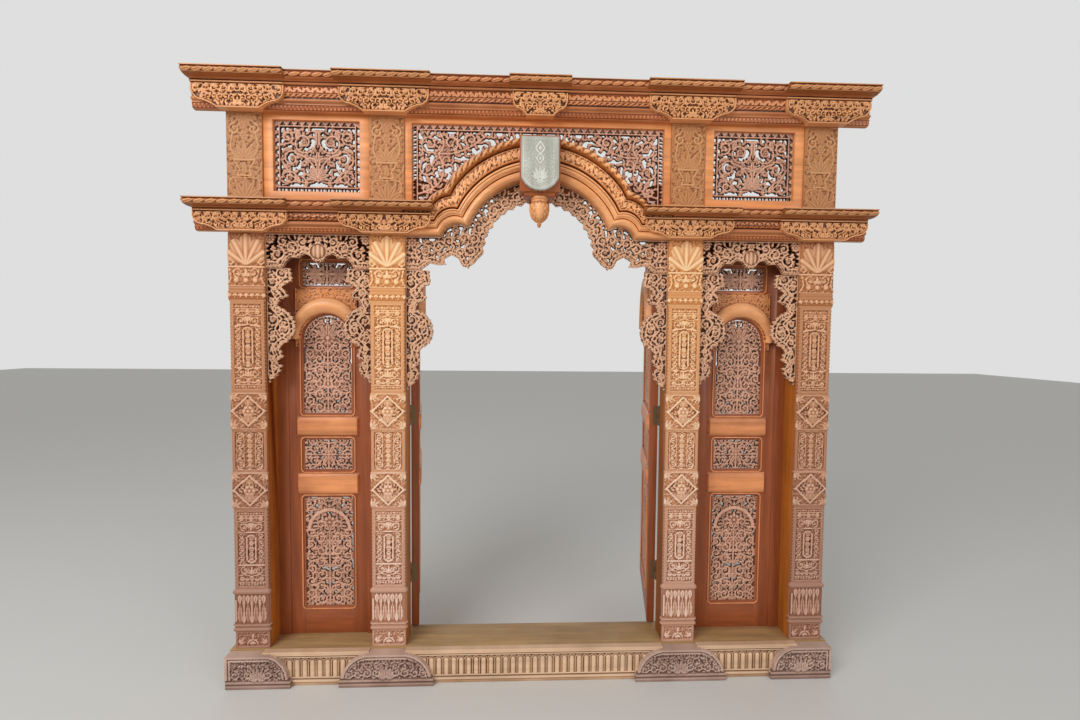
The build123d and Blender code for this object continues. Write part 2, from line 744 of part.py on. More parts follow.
def leaf_hood(x, opening, spring, front):
    transom = transom_span(opening, spring)
    inner = opening + opening_step
    outer = opening + hood_width
    board_half = opening + rail_overlap - hood_board_inset
    low = spring - hood_foot
    high = transom[0] - rail_margin
    with BuildPart() as hood:
        with BuildSketch(front_plane(front)):
            with Locations((x, (low + high) / 2)):
                Rectangle(2 * board_half, high - low)
            with Locations((x, spring)):
                Circle(inner, mode=Mode.SUBTRACT)
            with Locations((x, (low + spring) / 2)):
                Rectangle(2 * inner, spring - low, mode=Mode.SUBTRACT)
        extrude(amount=hood_board)
        with BuildSketch(front_plane(front - hood_board)):
            with Locations((x, spring + hood_lift)):
                Circle(outer - hood_ring_margin)
            with Locations((x, spring)):
                Circle(inner + hood_ring_margin, mode=Mode.SUBTRACT)
            with Locations((x, spring - outer)):
                Rectangle(4 * outer, 2 * outer, mode=Mode.SUBTRACT)
        extrude(amount=hood_proud - hood_board)
        with BuildSketch(front_plane(front - hood_board)):
            for side in (-1, 1):
                leaves([(x + side * (board_half - 26), high - 40, 58, 22, 90 + side * 40),
                        (x + side * (board_half - 20), high - 88, 44, 16, 90 + side * 10)])
            leaves([(x, high - 18, 24, 16, 90)])
        extrude(amount=carving_depth)
    return hood.part


def leaf_openwork(x, opening, spring, front):
    transom = transom_span(opening, spring)
    face = front + carving_front
    back = face + carving_thickness
    spread = opening / 108
    spots = []
    for side in (-1, 1):
        spots += spray(x + side * opening * 0.48, sum(transom) / 2, 26, 30, 16, range(45, 360, 90))
        spots += spray(x + side * opening * 0.5, (lock_rail_top + middle_panel_top) / 2, 30, 36, 18,
                       (60, 180 - 90 * side, 300))
        for low, count in ((lower_panel_low, 5), (upper_panel_low, 4)):
            for step in range(count):
                lean = 60 if step % 2 else -60
                spots.append((x + side * 52 * spread, low + 60 + 80 * step, 66, 30, 90 + side * lean / 2))
        spots += [(x + side * 40 * spread, spring + 34 * spread, 52, 22, 90 + side * 40)]
        spots += [(x + side * 62 * spread, lower_panel_top - 50, 46, 20, 90 - side * 50)]
    with BuildPart() as carving:
        for low, high in ((lower_panel_low, lower_panel_top), (lock_rail_top, middle_panel_top),
                          (upper_panel_low, spring), transom):
            block((x - opening, face, low), (x + opening, back, high))
        with BuildSketch(front_plane(back)):
            with Locations((x, spring)):
                Circle(opening)
        extrude(amount=carving_thickness)
        pierce(spots, back, face)
        with BuildSketch(front_plane(face)):
            with Locations((x, lower_panel_top - opening - band_drop)):
                Circle(opening - band_margin)
                Circle(opening - band_margin - band_width, mode=Mode.SUBTRACT)
            with Locations((x, lower_panel_top - 2 * opening - band_drop)):
                Rectangle(2 * opening, 2 * opening, mode=Mode.SUBTRACT)
        extrude(amount=carving_depth)
    return carving.part


def bay_leaf(name, side):
    x = side * bay_centre
    half = bay_half - jamb_strip
    opening = half - bay_stile
    frame = leaf_frame(x, half, bay_stile, sill_top, mid_cornice_low, bay_spring_z, reveal_depth)
    with BuildPart() as fixed:
        add(frame)
        for turn in (-1, 1):
            start, end = sorted((x + turn * half, x + turn * bay_half))
            block((start, reveal_depth - 6, sill_top), (end, post_depth, mid_cornice_low))
    save(fixed.part, name + "_frame")
    save(leaf_hood(x, opening, bay_spring_z, reveal_depth), name + "_hood")
    save(leaf_openwork(x, opening, bay_spring_z, reveal_depth), name + "_openwork")


# Swinging leaves hang on three butt hinges each and stand open, turned about the pins

pin_x = doorway_half + leaf_rebate - hinge_plate - hinge_plate_gap / 2
leaf_front = reveal_depth + leaf_stop_gap
pin_y = leaf_front + leaf_thickness + knuckle_radius + hinge_plate_gap


def hinge_half(side, sign, turns):
    """One half of the three hinges: sign 1 is the plate on the post, -1 the one on the leaf."""
    pitch = knuckle_length + knuckle_gap
    with BuildPart() as half:
        for height in hinge_heights:
            low = height - knuckle_count * pitch / 2
            near = side * (pin_x + sign * hinge_plate_gap / 2)
            far = side * (pin_x + sign * (hinge_plate_gap / 2 + hinge_plate))
            start, end = sorted((near, far))
            edge = pin_y - knuckle_radius - hinge_plate_gap
            top = low + knuckle_count * pitch - knuckle_gap
            block((start, pin_y - hinge_plate_width, low), (end, edge, top))
            for turn in turns:
                knuckle_low = low + turn * pitch
                block((start, edge, knuckle_low),
                      (end, pin_y - knuckle_radius * 0.75, knuckle_low + knuckle_length))
                with BuildSketch(Plane.XY.offset(knuckle_low)):
                    with Locations((side * pin_x, pin_y)):
                        Circle(knuckle_radius)
                        Circle(pin_radius + pin_clearance, mode=Mode.SUBTRACT)
                extrude(amount=knuckle_length)
    return half.part


def hinge_pins(name, side):
    pitch = knuckle_length + knuckle_gap
    with BuildPart() as pins:
        for height in hinge_heights:
            low = height - knuckle_count * pitch / 2
            with BuildSketch(Plane.XY.offset(low)):
                with Locations((side * pin_x, pin_y)):
                    Circle(pin_radius)
            extrude(amount=knuckle_count * pitch - knuckle_gap)
            for head in (low - pin_radius, low + knuckle_count * pitch - knuckle_gap):
                with BuildSketch(Plane.XY.offset(head)):
                    with Locations((side * pin_x, pin_y)):
                        Circle(knuckle_radius - 1)
                extrude(amount=pin_radius)
    save(pins.part, name)


def door_leaf(name, side):
    hinge_edge = pin_x - hinge_plate_gap / 2 - hinge_plate
    half = (hinge_edge - leaf_meeting_gap / 2) / 2
    x = side * (hinge_edge + leaf_meeting_gap / 2) / 2
    opening = half - door_stile
    axis = Axis((side * pin_x, pin_y, 0), (0, 0, 1))
    swing = -side * open_angle
    low = sill_top + leaf_floor_gap
    frame = leaf_frame(x, half, door_stile, low, door_leaf_top, door_spring_z, leaf_front)
    pieces = {
        "_frame": frame,
        "_hood": leaf_hood(x, opening, door_spring_z, leaf_front),
        "_openwork": leaf_openwork(x, opening, door_spring_z, leaf_front),
        "_hinge_plates": hinge_half(side, -1, range(1, knuckle_count, 2)),
    }
    for ending, piece in pieces.items():
        save(piece.rotate(axis, swing), name + ending)
    save(hinge_half(side, 1, range(0, knuckle_count, 2)), name.replace("leaf", "post") + "_hinge_plates")
    hinge_pins(name.replace("leaf", "hinge") + "_pins", side)


def door_head():
    with BuildPart() as head:
        block((-doorway_half, reveal_depth - leaf_thickness, door_leaf_top - leaf_rebate),
              (doorway_half, reveal_depth, door_leaf_top + 4 * leaf_rebate))
    save(head.part, "door_head")


sill()
plinth("plinth_left_outer", -outer_post_x, post_half + outer_plinth_overhang, outer_plinth_half)
plinth("plinth_left_inner", -inner_post_x, plinth_half_width, plinth_half_width)
plinth("plinth_right_inner", inner_post_x, plinth_half_width, plinth_half_width)
plinth("plinth_right_outer", outer_post_x, outer_plinth_half, post_half + outer_plinth_overhang)
post("post_left_outer", -outer_post_x, 0)
post("post_left_inner", -inner_post_x, 1)
post("post_right_inner", inner_post_x, -1)
post("post_right_outer", outer_post_x, 0)
top_cornice()
for number, (x, half, foot_half) in enumerate(top_consoles()):
    name = "top_bracket_" + ("left_outer", "left_inner", "right_inner", "right_outer", "centre")[number]
    bracket(name, x, half, foot_half, top_cornice_low, top_cornice_top)
for name, x in (("left_outer", -outer_post_x), ("left_inner", -inner_post_x),
                ("right_inner", inner_post_x), ("right_outer", outer_post_x)):
    bracket("mid_bracket_" + name, x, mid_bracket_half, mid_bracket_foot_half,
            mid_cornice_low, mid_cornice_top)
arch_frame()
upper_centre_panel()
doorway_crown()
keystone()
door_head()
for name, side in (("left", -1), ("right", 1)):
    mid_cornice("mid_cornice_" + name, side)
    upper_side_panel(name, side)
    fret_leg("fret_leg_doorway_" + name, side * doorway_half, -side, doorway_leg_low)
    fret_leg("fret_leg_bay_inner_" + name, side * bay_left, side, bay_leg_low)
    fret_leg("fret_leg_bay_outer_" + name, side * bay_right, -side, bay_leg_low)
    bay_crown("fret_crown_bay_" + name, side)
    bay_leaf("bay_leaf_" + name, side)
    door_leaf("door_leaf_" + name, side)
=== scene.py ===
import bpy
import math
import random
import numpy as np
from mathutils import Euler, Matrix, Vector


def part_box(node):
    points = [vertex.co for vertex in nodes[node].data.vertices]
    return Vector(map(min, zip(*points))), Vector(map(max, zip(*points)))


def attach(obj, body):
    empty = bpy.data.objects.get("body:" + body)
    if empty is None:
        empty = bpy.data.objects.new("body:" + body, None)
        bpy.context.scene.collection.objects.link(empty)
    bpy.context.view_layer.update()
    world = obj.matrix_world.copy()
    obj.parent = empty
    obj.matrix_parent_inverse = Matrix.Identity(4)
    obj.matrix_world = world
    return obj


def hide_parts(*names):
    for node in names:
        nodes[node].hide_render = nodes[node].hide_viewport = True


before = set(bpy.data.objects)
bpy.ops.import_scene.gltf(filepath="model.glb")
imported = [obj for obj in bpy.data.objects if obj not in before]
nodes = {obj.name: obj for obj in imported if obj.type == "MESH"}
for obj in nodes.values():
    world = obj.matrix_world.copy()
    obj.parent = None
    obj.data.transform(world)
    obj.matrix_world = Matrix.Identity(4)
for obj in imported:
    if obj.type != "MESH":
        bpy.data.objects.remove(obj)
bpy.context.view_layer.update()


# Studio: a plain pale floor and backdrop colour, soft light from the front, and a
# camera that stands where the door was looked at from, a little left of its middle.

def colour(red, green, blue):
    """A paint colour, from the 0 to 255 of a colour picker to what Blender mixes."""
    shares = [value / 255 for value in (red, green, blue)]
    return [s / 12.92 if s < 0.04045 else ((s + 0.055) / 1.055) ** 2.4 for s in shares] + [1.0]


def new_material(name, roughness, base=(200, 200, 200)):
    """An empty material: its node tree and its Principled shader."""
    material = bpy.data.materials.new(name)
    material.use_nodes = True
    shader = material.node_tree.nodes["Principled BSDF"]
    shader.inputs["Base Color"].default_value = colour(*base)
    shader.inputs["Roughness"].default_value = roughness
    return material, material.node_tree, shader


def named(name):
    """Give the piece that was just made its name."""
    piece = bpy.context.object
    piece.name = piece.data.name = name
    return piece


bpy.ops.object.select_all(action="DESELECT")
floor_size, floor_drop = 40, 0.0005
bpy.ops.mesh.primitive_plane_add(size=floor_size, location=(0, 0, -floor_drop))
floor = named("studio_floor")
floor.data.materials.append(new_material("floor_paint", 0.6, (214, 214, 211))[0])

world = bpy.data.worlds.new("studio_air")
bpy.context.scene.world = world
world.use_nodes = True
air = world.node_tree
backdrop = air.nodes["Background"]
backdrop.inputs["Color"].default_value = colour(222, 223, 222)
daylight = air.nodes.new("ShaderNodeBackground")
daylight.inputs["Color"].default_value = (1.0, 0.98, 0.95, 1.0)
daylight.inputs["Strength"].default_value = 0.42
seen = air.nodes.new("ShaderNodeLightPath")
shown = seen.outputs["Is Camera Ray"]
for ray in ("Is Glossy Ray", "Is Transmission Ray"):
    either = air.nodes.new("ShaderNodeMath")
    either.operation = "MAXIMUM"
    air.links.new(shown, either.inputs[0])
    air.links.new(seen.outputs[ray], either.inputs[1])
    shown = either.outputs[0]
choice = air.nodes.new("ShaderNodeMixShader")
air.links.new(shown, choice.inputs[0])
air.links.new(daylight.outputs[0], choice.inputs[1])
air.links.new(backdrop.outputs[0], choice.inputs[2])
air.links.new(choice.outputs[0], air.nodes["World Output"].inputs["Surface"])

lit_spot = Vector((0, 0, 1.2))
for name, place, size, power in (("window_left", (-3.4, -4.2, 4.6), 3.2, 230),
                                 ("window_right", (3.8, -4.6, 3.0), 3.0, 70)):
    bpy.ops.object.light_add(type="AREA", location=place)
    lamp = bpy.context.object
    lamp.name = name
    lamp.data.size = size
    lamp.data.energy = power
    lamp.rotation_euler = (lit_spot - Vector(place)).to_track_quat("-Z", "Y").to_euler()

picture_width = 1080
focal_pixels = 530
film_width = 36
camera_place = Vector((-0.092, -2.359, 1.568))
camera_yaw, camera_pitch, camera_roll = (math.radians(angle) for angle in (-2.5, -2.8, 0.52))
bpy.ops.object.camera_add(location=camera_place)
camera = bpy.context.object
camera.name = "studio_camera"
camera.data.sensor_width = film_width
camera.data.lens = film_width * focal_pixels / picture_width
level = Euler((math.pi / 2 + camera_pitch, 0, camera_yaw)).to_matrix()
camera.rotation_euler = (level @ Matrix.Rotation(camera_roll, 3, "Z")).to_euler()
bpy.context.scene.camera = camera
bpy.context.scene.view_settings.view_transform = "Standard"


# Beams and plain frames: the head beam, the rail over the door leaves, and the frames round
# the upper panels. They are old teak, planed, mortised together and pinned, then oiled. In
# their colour the hollows go nearly black, with stain and painted shade, and the tips pale,
# with wear, dust and a painted highlight.

def group_of(name, inputs, outputs):
    """A node group with named sockets, and its input and output nodes."""
    tree = bpy.data.node_groups.new(name, "ShaderNodeTree")
    for label, kind, default in inputs:
        socket = tree.interface.new_socket(label, in_out="INPUT", socket_type="NodeSocket" + kind)
        if default is not None:
            socket.default_value = default
    for label, kind in outputs:
        tree.interface.new_socket(label, in_out="OUTPUT", socket_type="NodeSocket" + kind)
    return tree, tree.nodes.new("NodeGroupInput"), tree.nodes.new("NodeGroupOutput")


def step(tree, kind, links=(), **settings):
    """One node of a tree: its settings, and what is linked or set on its inputs."""
    node = tree.nodes.new("ShaderNode" + kind)
    for key, value in settings.items():
        setattr(node, key, value)
    for socket, source in links:
        if isinstance(source, bpy.types.NodeSocket):
            tree.links.new(source, node.inputs[socket])
        else:
            node.inputs[socket].default_value = source
    return node


# Grain: long streaks and fine pores, along the third axis of the board's own place
grain, taken, given = group_of(
    "teak_grain",
    [("Place", "Vector", None)],
    [("Tone", "Float"), ("Pores", "Float")])
along = step(grain, "VectorMath", [(0, taken.outputs["Place"]), (1, (1.0, 1.0, 0.07))], operation="MULTIPLY")
streak = step(grain, "TexNoise", [("Vector", along.outputs[0]), ("Scale", 34.0), ("Detail", 5.0),
                                  ("Roughness", 0.62), ("Distortion", 0.35)])
pore = step(grain, "TexNoise", [("Vector", along.outputs[0]), ("Scale", 420.0), ("Detail", 2.0)])
grain.links.new(streak.outputs["Fac"], given.inputs["Tone"])
grain.links.new(pore.outputs["Fac"], given.inputs["Pores"])

# Patina and painted light: from the stained hollow, darkened further as painted shade, over
# the wood's own colour to the worn, dusty tip, paled further as a painted highlight
patina_and_painted_light, taken, given = group_of(
    "carved_patina_and_painted_light",
    [("Carved", "Float", 0.6), ("Tone", "Float", 0.5), ("Blotch", "Float", 0.5),
     ("Hollow", "Color", None), ("Wood", "Color", None), ("Tip", "Color", None), ("Figure", "Float", 0.5)],
    [("Colour", "Color")])
uneven = step(patina_and_painted_light, "Math", [(0, taken.outputs["Blotch"]), (1, 0.34), (2, -0.17)],
              operation="MULTIPLY_ADD")
height = step(patina_and_painted_light, "Math", [(0, taken.outputs["Carved"]), (1, uneven.outputs[0])], operation="ADD")
filled = step(patina_and_painted_light, "MapRange", [("Value", height.outputs[0]), ("From Min", 0.12), ("From Max", 0.58)],
              interpolation_type="SMOOTHSTEP")
worn = step(patina_and_painted_light, "MapRange", [("Value", height.outputs[0]), ("From Min", 0.62), ("From Max", 1.0)],
            interpolation_type="SMOOTHSTEP")
figure = step(patina_and_painted_light, "MapRange", [("Value", taken.outputs["Tone"]), ("From Min", 0.3), ("From Max", 0.72),
                                   ("To Min", 0.62), ("To Max", 1.3)])
strength = step(patina_and_painted_light, "Mix", [(0, taken.outputs["Figure"]), (2, 1.0), (3, figure.outputs[0])])
deep = step(patina_and_painted_light, "Mix", [(0, filled.outputs[0]), (6, taken.outputs["Hollow"]), (7, taken.outputs["Wood"])],
            data_type="RGBA")
high = step(patina_and_painted_light, "Mix", [(0, worn.outputs[0]), (6, deep.outputs[2]), (7, taken.outputs["Tip"])],
            data_type="RGBA")
streaked = step(patina_and_painted_light, "VectorMath", [(0, high.outputs[2]), ("Scale", strength.outputs[0])],
                operation="SCALE")
patina_and_painted_light.links.new(streaked.outputs[0], given.inputs["Colour"])

# Dust: pale grey-pink dust that settles on what faces up
dust, taken, given = group_of(
    "settled_dust",
    [("Amount", "Float", 0.3), ("Blotch", "Float", 0.5)],
    [("Mask", "Float")])
facing = step(dust, "NewGeometry")
upward = step(dust, "SeparateXYZ", [(0, facing.outputs["Normal"])])
flat = step(dust, "MapRange", [("Value", upward.outputs["Z"]), ("From Min", 0.05), ("From Max", 0.95)])
patchy = step(dust, "Math", [(0, flat.outputs[0]), (1, taken.outputs["Blotch"])], operation="MULTIPLY")
amount = step(dust, "Math", [(0, patchy.outputs[0]), (1, taken.outputs["Amount"])], operation="MULTIPLY")
amount.use_clamp = True
dust.links.new(amount.outputs[0], given.inputs["Mask"])


def teak(name, wood, hollow, tip, roughness=0.5, figure=0.5, dusty=0.5, aged=None):
    """Teak of one colour, for pieces that carry their board's place and carved height; aged
    gives the wood and tips that it turns to near the floor, and those over the cornice."""
    material, tree, shader = new_material(name, roughness)
    shader.inputs["Specular IOR Level"].default_value = 0.32
    place = step(tree, "Attribute", attribute_name="board_place")
    carved = step(tree, "Attribute", attribute_name="carved")
    lines = step(tree, "Group", node_tree=grain)
    tree.links.new(place.outputs["Vector"], lines.inputs["Place"])
    cloud = step(tree, "TexNoise", [("Vector", place.outputs["Vector"]), ("Scale", 7.0), ("Detail", 4.0)])
    # The hollow colour stands for stain and painted shade, the tip colour for wear, dust and a painted
    # highlight
    stain = step(tree, "Group", node_tree=patina_and_painted_light)
    for socket, source in (("Carved", carved.outputs["Fac"]), ("Tone", lines.outputs["Tone"]),
                           ("Blotch", cloud.outputs["Fac"])):
        tree.links.new(source, stain.inputs[socket])
    for socket, value in (("Hollow", colour(*hollow)), ("Wood", colour(*wood)), ("Tip", colour(*tip)),
                          ("Figure", figure)):
        stain.inputs[socket].default_value = value
    if aged:
        spot = step(tree, "SeparateXYZ", [(0, step(tree, "TexCoord").outputs["Object"])])
        low = step(tree, "MapRange", [("Value", spot.outputs["Z"]), ("From Min", 1.7), ("From Max", 0.5)])
        high = step(tree, "MapRange", [("Value", spot.outputs["Z"]), ("From Min", 2.0), ("From Max", 2.1)])
        for socket, fresh, floor_tone, top_tone in zip(("Wood", "Tip"), (wood, tip), *aged):
            lower = step(tree, "Mix", [(0, low.outputs[0]), (6, colour(*fresh)), (7, colour(*floor_tone))],
                         data_type="RGBA")
            upper = step(tree, "Mix", [(0, high.outputs[0]), (6, lower.outputs[2]), (7, colour(*top_tone))],
                         data_type="RGBA")
            tree.links.new(upper.outputs[2], stain.inputs[socket])
    powder = step(tree, "Group", node_tree=dust)
    powder.inputs["Amount"].default_value = dusty
    tree.links.new(cloud.outputs["Fac"], powder.inputs["Blotch"])
    finish = step(tree, "Mix", [(0, powder.outputs["Mask"]), (6, stain.outputs["Colour"]),
                                (7, colour(214, 190, 172))], data_type="RGBA")
    tree.links.new(finish.outputs[2], shader.inputs["Base Color"])
    relief = step(tree, "Bump", [("Height", lines.outputs["Pores"]), ("Strength", 0.12),
                                 ("Distance", 0.0006)])
    tree.links.new(relief.outputs["Normal"], shader.inputs["Normal"])
    return material


mm = 0.001
touching = 0.02 * mm


def worked(piece):
    """Give a piece its sharp edges and smooth faces, and leave nothing selected."""
    bpy.ops.object.select_all(action="DESELECT")
    piece.select_set(True)
    bpy.context.view_layer.objects.active = piece
    bpy.ops.object.shade_smooth_by_angle(angle=math.radians(48))
    bpy.ops.object.select_all(action="DESELECT")


def fitted(piece, material, body, slot, *replaced):
    """Finish a piece: its material, the body it rides on and the nodes it stands for. The slot is not used.
    """
    piece.data.materials.clear()
    piece.data.materials.append(material)
    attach(piece, body)
    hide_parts(*replaced)


def eased(name, node, width=1.2, along_z=True, rails=None, behind=None, turned=Matrix.Identity(4),
          raised=(0, 0, 0), tone=0.6):
    """A copy of a plain CAD piece, or of what lies behind a depth, its edges eased by sanding.
    Between the two places in rails its grain runs across, and what is raised there is cut off."""
    bpy.ops.object.select_all(action="DESELECT")
    source = nodes[node]
    piece = bpy.data.objects.new(name, source.data.copy())
    bpy.context.scene.collection.objects.link(piece)
    piece.data.name = name
    piece.data.transform(turned.inverted())
    piece.select_set(True)
    bpy.context.view_layer.objects.active = piece
    bpy.ops.object.mode_set(mode="EDIT")
    bpy.ops.mesh.select_all(action="SELECT")
    bpy.ops.mesh.remove_doubles(threshold=touching)
    bpy.ops.mesh.dissolve_limited(angle_limit=math.radians(1))
    if behind is not None:
        bpy.ops.mesh.select_all(action="SELECT")
        bpy.ops.mesh.bisect(plane_co=(0, behind * mm, 0), plane_no=(0, 1, 0), use_fill=True, clear_inner=True)
    if rails:
        bpy.ops.mesh.select_all(action="DESELECT")
        bpy.ops.object.mode_set(mode="OBJECT")
        for face in piece.data.polygons:
            face.select = (raised[0] * mm < face.center.x < raised[1] * mm) and face.center.y < raised[2] * mm
        bpy.ops.object.mode_set(mode="EDIT")
        bpy.ops.mesh.bisect(plane_co=(0, (raised[2] + 0.7) * mm, 0), plane_no=(0, 1, 0), use_fill=True,
                            clear_inner=True)
    for cut in rails or ():
        bpy.ops.mesh.select_all(action="SELECT")
        bpy.ops.mesh.bisect(plane_co=(cut * mm, 0, 0), plane_no=(1, 0, 0))
    bpy.ops.object.mode_set(mode="OBJECT")
    if width:
        edge = piece.modifiers.new("eased_edges", "BEVEL")
        edge.width = width * mm
        edge.segments = 2
        edge.limit_method = "ANGLE"
        edge.angle_limit = math.radians(35)
        bpy.ops.object.modifier_apply(modifier=edge.name)
    mesh = piece.data
    lay = mesh.attributes.new("board_place", "FLOAT_VECTOR", "CORNER")
    places = np.zeros((len(mesh.loops), 3))
    for face in mesh.polygons:
        inner = rails and min(rails) * mm < face.center.x < max(rails) * mm
        for loop in face.loop_indices:
            x, y, z = mesh.vertices[mesh.loops[loop].vertex_index].co
            places[loop] = (z, y, x) if inner or not along_z else (x, y, z)
    lay.data.foreach_set("vector", places.ravel())
    height = mesh.attributes.new("carved", "FLOAT", "POINT")
    # Points that stand forward between the raised marks are coloured lighter, near the tip colour
    lighter_where_raised = [raised[0] * mm < vertex.co.x < raised[1] * mm and vertex.co.y < raised[2] * mm
              for vertex in mesh.vertices]
    height.data.foreach_set("value", np.where(lighter_where_raised, 0.98, tone))
    mesh.transform(turned)
    worked(piece)
    return piece


frame_teak = teak("frame_teak", (206, 124, 64), (120, 56, 20), (236, 158, 98), roughness=0.36, figure=0.8,
                  dusty=0.2)
# Reveal teak, for the door head and the posts' sides and backs, is coloured brighter than its wood, as
# painted light falling on the reveals from the side
reveal_teak = teak("reveal_teak", (184, 108, 40), (112, 56, 16), (216, 150, 82), roughness=0.42, figure=0.8,
                   dusty=0.2)
piece = eased("head_beam_wood", "head_beam", along_z=False)
fitted(piece, frame_teak, "facade", "moulded_teak", "head_beam")
piece = eased("door_head_wood", "door_head", along_z=False)
fitted(piece, reveal_teak, "facade", "moulded_teak", "door_head")
# The upper frames take a lighter tone than the beams, as painted light against the shadow under the top
# cornice
for side in ("left", "right", "centre"):
    piece = eased("upper_frame_" + side + "_wood", "upper_frame_" + side, along_z=False, tone=0.86)
    fitted(piece, frame_teak, "facade", "moulded_teak", "upper_frame_" + side)


# Sill: one thick teak threshold that all the posts stand on, worn pale where people step.
# A skirt is nailed to its front between the plinths, carved as a row of upright tongues,
# each under an arch of its own.

class Board:
    """A board on the bench: lines of points across and up, in mm, and the wood at each."""

    def __init__(self, lines, rows):
        self.lines, self.rows = np.asarray(lines, float), np.asarray(rows, float)
        self.across, self.up = np.meshgrid(self.lines, self.rows)
        self.wood = np.zeros(self.across.shape)
        self.gap = np.zeros(self.across.shape, bool)

    def near(self, x, z, reach):
        """The part of the board within reach of a point, and how far its points are from it."""
        up = slice(*np.searchsorted(self.rows, (z - reach, z + reach)))
        across = slice(*np.searchsorted(self.lines, (x - reach, x + reach)))
        part = (up, across)
        return part, self.across[part] - x, self.up[part] - z

    def leave(self, part, height):
        """Leave wood standing up to this height, where it isn't higher already."""
        self.wood[part] = np.maximum(self.wood[part], height)

    def mirror(self):
        """Carve the other half like this one."""
        self.wood = np.maximum(self.wood, self.wood[:, ::-1])
        self.gap = self.gap | self.gap[:, ::-1]

    def reversed(self):
        """The same board for the other side of the door."""
        other = Board(-self.lines[::-1], self.rows)
        other.wood, other.gap = self.wood[:, ::-1], self.gap[:, ::-1]
        return other


def steps(low, high, pitch):
    """Evenly spaced places from low to high, about a pitch apart."""
    return np.linspace(low, high, max(2, round((high - low) / pitch) + 1))


def softened(height, passes):
    """The height field smoothed over a few cells."""
    for _ in range(passes):
        edge = np.pad(height, 1, mode="edge")
        height = (edge[:-2, 1:-1] + edge[2:, 1:-1] + edge[1:-1, :-2] + edge[1:-1, 2:] + 2 * height) / 6
    return height


def bench_grid(name, board, place, along_z=True):
    """The board's points as a grid, each moved to where place() puts it, with its own place kept."""
    bpy.ops.object.select_all(action="DESELECT")
    rows, lines = board.wood.shape
    bpy.ops.mesh.primitive_grid_add(x_subdivisions=lines - 1, y_subdivisions=rows - 1, size=1)
    piece = named(name)
    x, y, z = place(board.across, board.up, board.wood)
    spots = np.stack([x, y, z], -1).reshape(-1, 3) * mm
    piece.data.vertices.foreach_set("co", spots.ravel())
    lay = spots if along_z else spots[:, [2, 1, 0]]
    piece.data.attributes.new("board_place", "FLOAT_VECTOR", "POINT").data.foreach_set("vector", lay.ravel())
    # The carved attribute: the carving's height, raised where a point stands above its softened surroundings
    # and lowered where it sinks below them. It darkens hollows with stain and painted shade, and pales tips
    # with wear, dust and a painted highlight.
    proud = np.clip(0.5 * board.wood + 0.42 + 1.1 * (board.wood - softened(board.wood, 6)), 0, 1)
    piece.data.attributes.new("carved", "FLOAT", "POINT").data.foreach_set("value", proud.ravel())
    return piece


def solid_behind(piece, back):
    """Close a carved skin with flat sides and a flat back at this depth."""
    bpy.ops.object.select_all(action="DESELECT")
    piece.select_set(True)
    bpy.context.view_layer.objects.active = piece
    bpy.context.tool_settings.mesh_select_mode = (False, True, False)
    bpy.ops.object.mode_set(mode="EDIT")
    bpy.ops.mesh.select_all(action="DESELECT")
    bpy.ops.mesh.select_non_manifold(extend=False)
    bpy.ops.mesh.extrude_edges_move()
    bpy.ops.transform.resize(value=(1, 0, 1), center_override=(0, back * mm, 0))
    bpy.ops.mesh.edge_face_add()
    bpy.ops.mesh.select_all(action="SELECT")
    bpy.ops.mesh.remove_doubles(threshold=touching)
    bpy.ops.mesh.normals_make_consistent(inside=False)
    bpy.ops.object.mode_set(mode="OBJECT")
    worked(piece)
    return piece


sill_teak = teak("sill_teak", (166, 130, 76), (78, 52, 28), (226, 198, 150), figure=0.9, dusty=0.25)
skirt_teak = teak("skirt_teak", (168, 124, 88), (82, 50, 30), (230, 194, 160), roughness=0.6, dusty=0.3)
skirt_high, skirt_tuck, tongue_pitch = 152.4, 128, 33
sill_edge, skirt_face, skirt_back = -20, -30, -8
piece = eased("sill_wood", "sill", along_z=False, behind=sill_edge)
fitted(piece, sill_teak, "facade", "sill_teak", "sill")


def skirt_board(start, end):
    """Upright tongues side by side, each under its own small arch, between two plain bands."""
    board = Board(steps(start, end, 2.7), steps(0, skirt_high, 3.0))
    board.wood[:] = 0.06
    for x in steps(start + 16, end - 16, tongue_pitch):
        part, dx, dz = board.near(x, 82, 58)
        far = np.hypot(dx, np.maximum(dz - 22, 0))
        dome = np.sqrt(np.clip(1 - (far / 12.5) ** 2, 0, 1))
        board.wood[part] = np.where((far < 12.5) & (dz > -44), 0.05 + 0.93 * dome, board.wood[part])
        board.leave(part, np.where((np.abs(far - 15.8) < 1.9) & (dz > -44), 0.6, 0))
    board.wood[(board.up > 124) | (board.up < 37)] = 0.86
    for line, half in ((133, 1.9), (28, 2.2), (12, 1.6)):
        board.wood[np.abs(board.up - line) < half] = 0.3
    board.wood[board.up < 10] = 0.62
    return board


def skirt_place(across, up, wood):
    """Where a point of the skirt lies: its top band stands forward, and its top edge is eased."""
    top_band, top_edge = np.clip((up - 132) / 5, 0, 1), np.clip((up - 147) / 5, 0, 1)
    return across, skirt_face - 7 * wood - 5 * top_band + 4 * top_edge, up


post_names = ("left_outer", "left_inner", "right_inner", "right_outer")
plinths = [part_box("plinth_" + name) for name in post_names]
for name, (_, near), (far, _) in zip(("left", "doorway", "right"), plinths, plinths[1:]):
    board = skirt_board(near.x / mm - skirt_tuck, far.x / mm + skirt_tuck)
    grid = bench_grid("sill_skirt_" + name, board, skirt_place, along_z=False)
    piece = solid_behind(grid, skirt_back)
    fitted(piece, skirt_teak, "facade", "sill_teak", "sill")


# Upper panels: pierced teak boards let into the frames over the cornice, fretted through
# with a fine saw and then carved: a border of small teeth round a symmetrical vine.

cell = 3.3


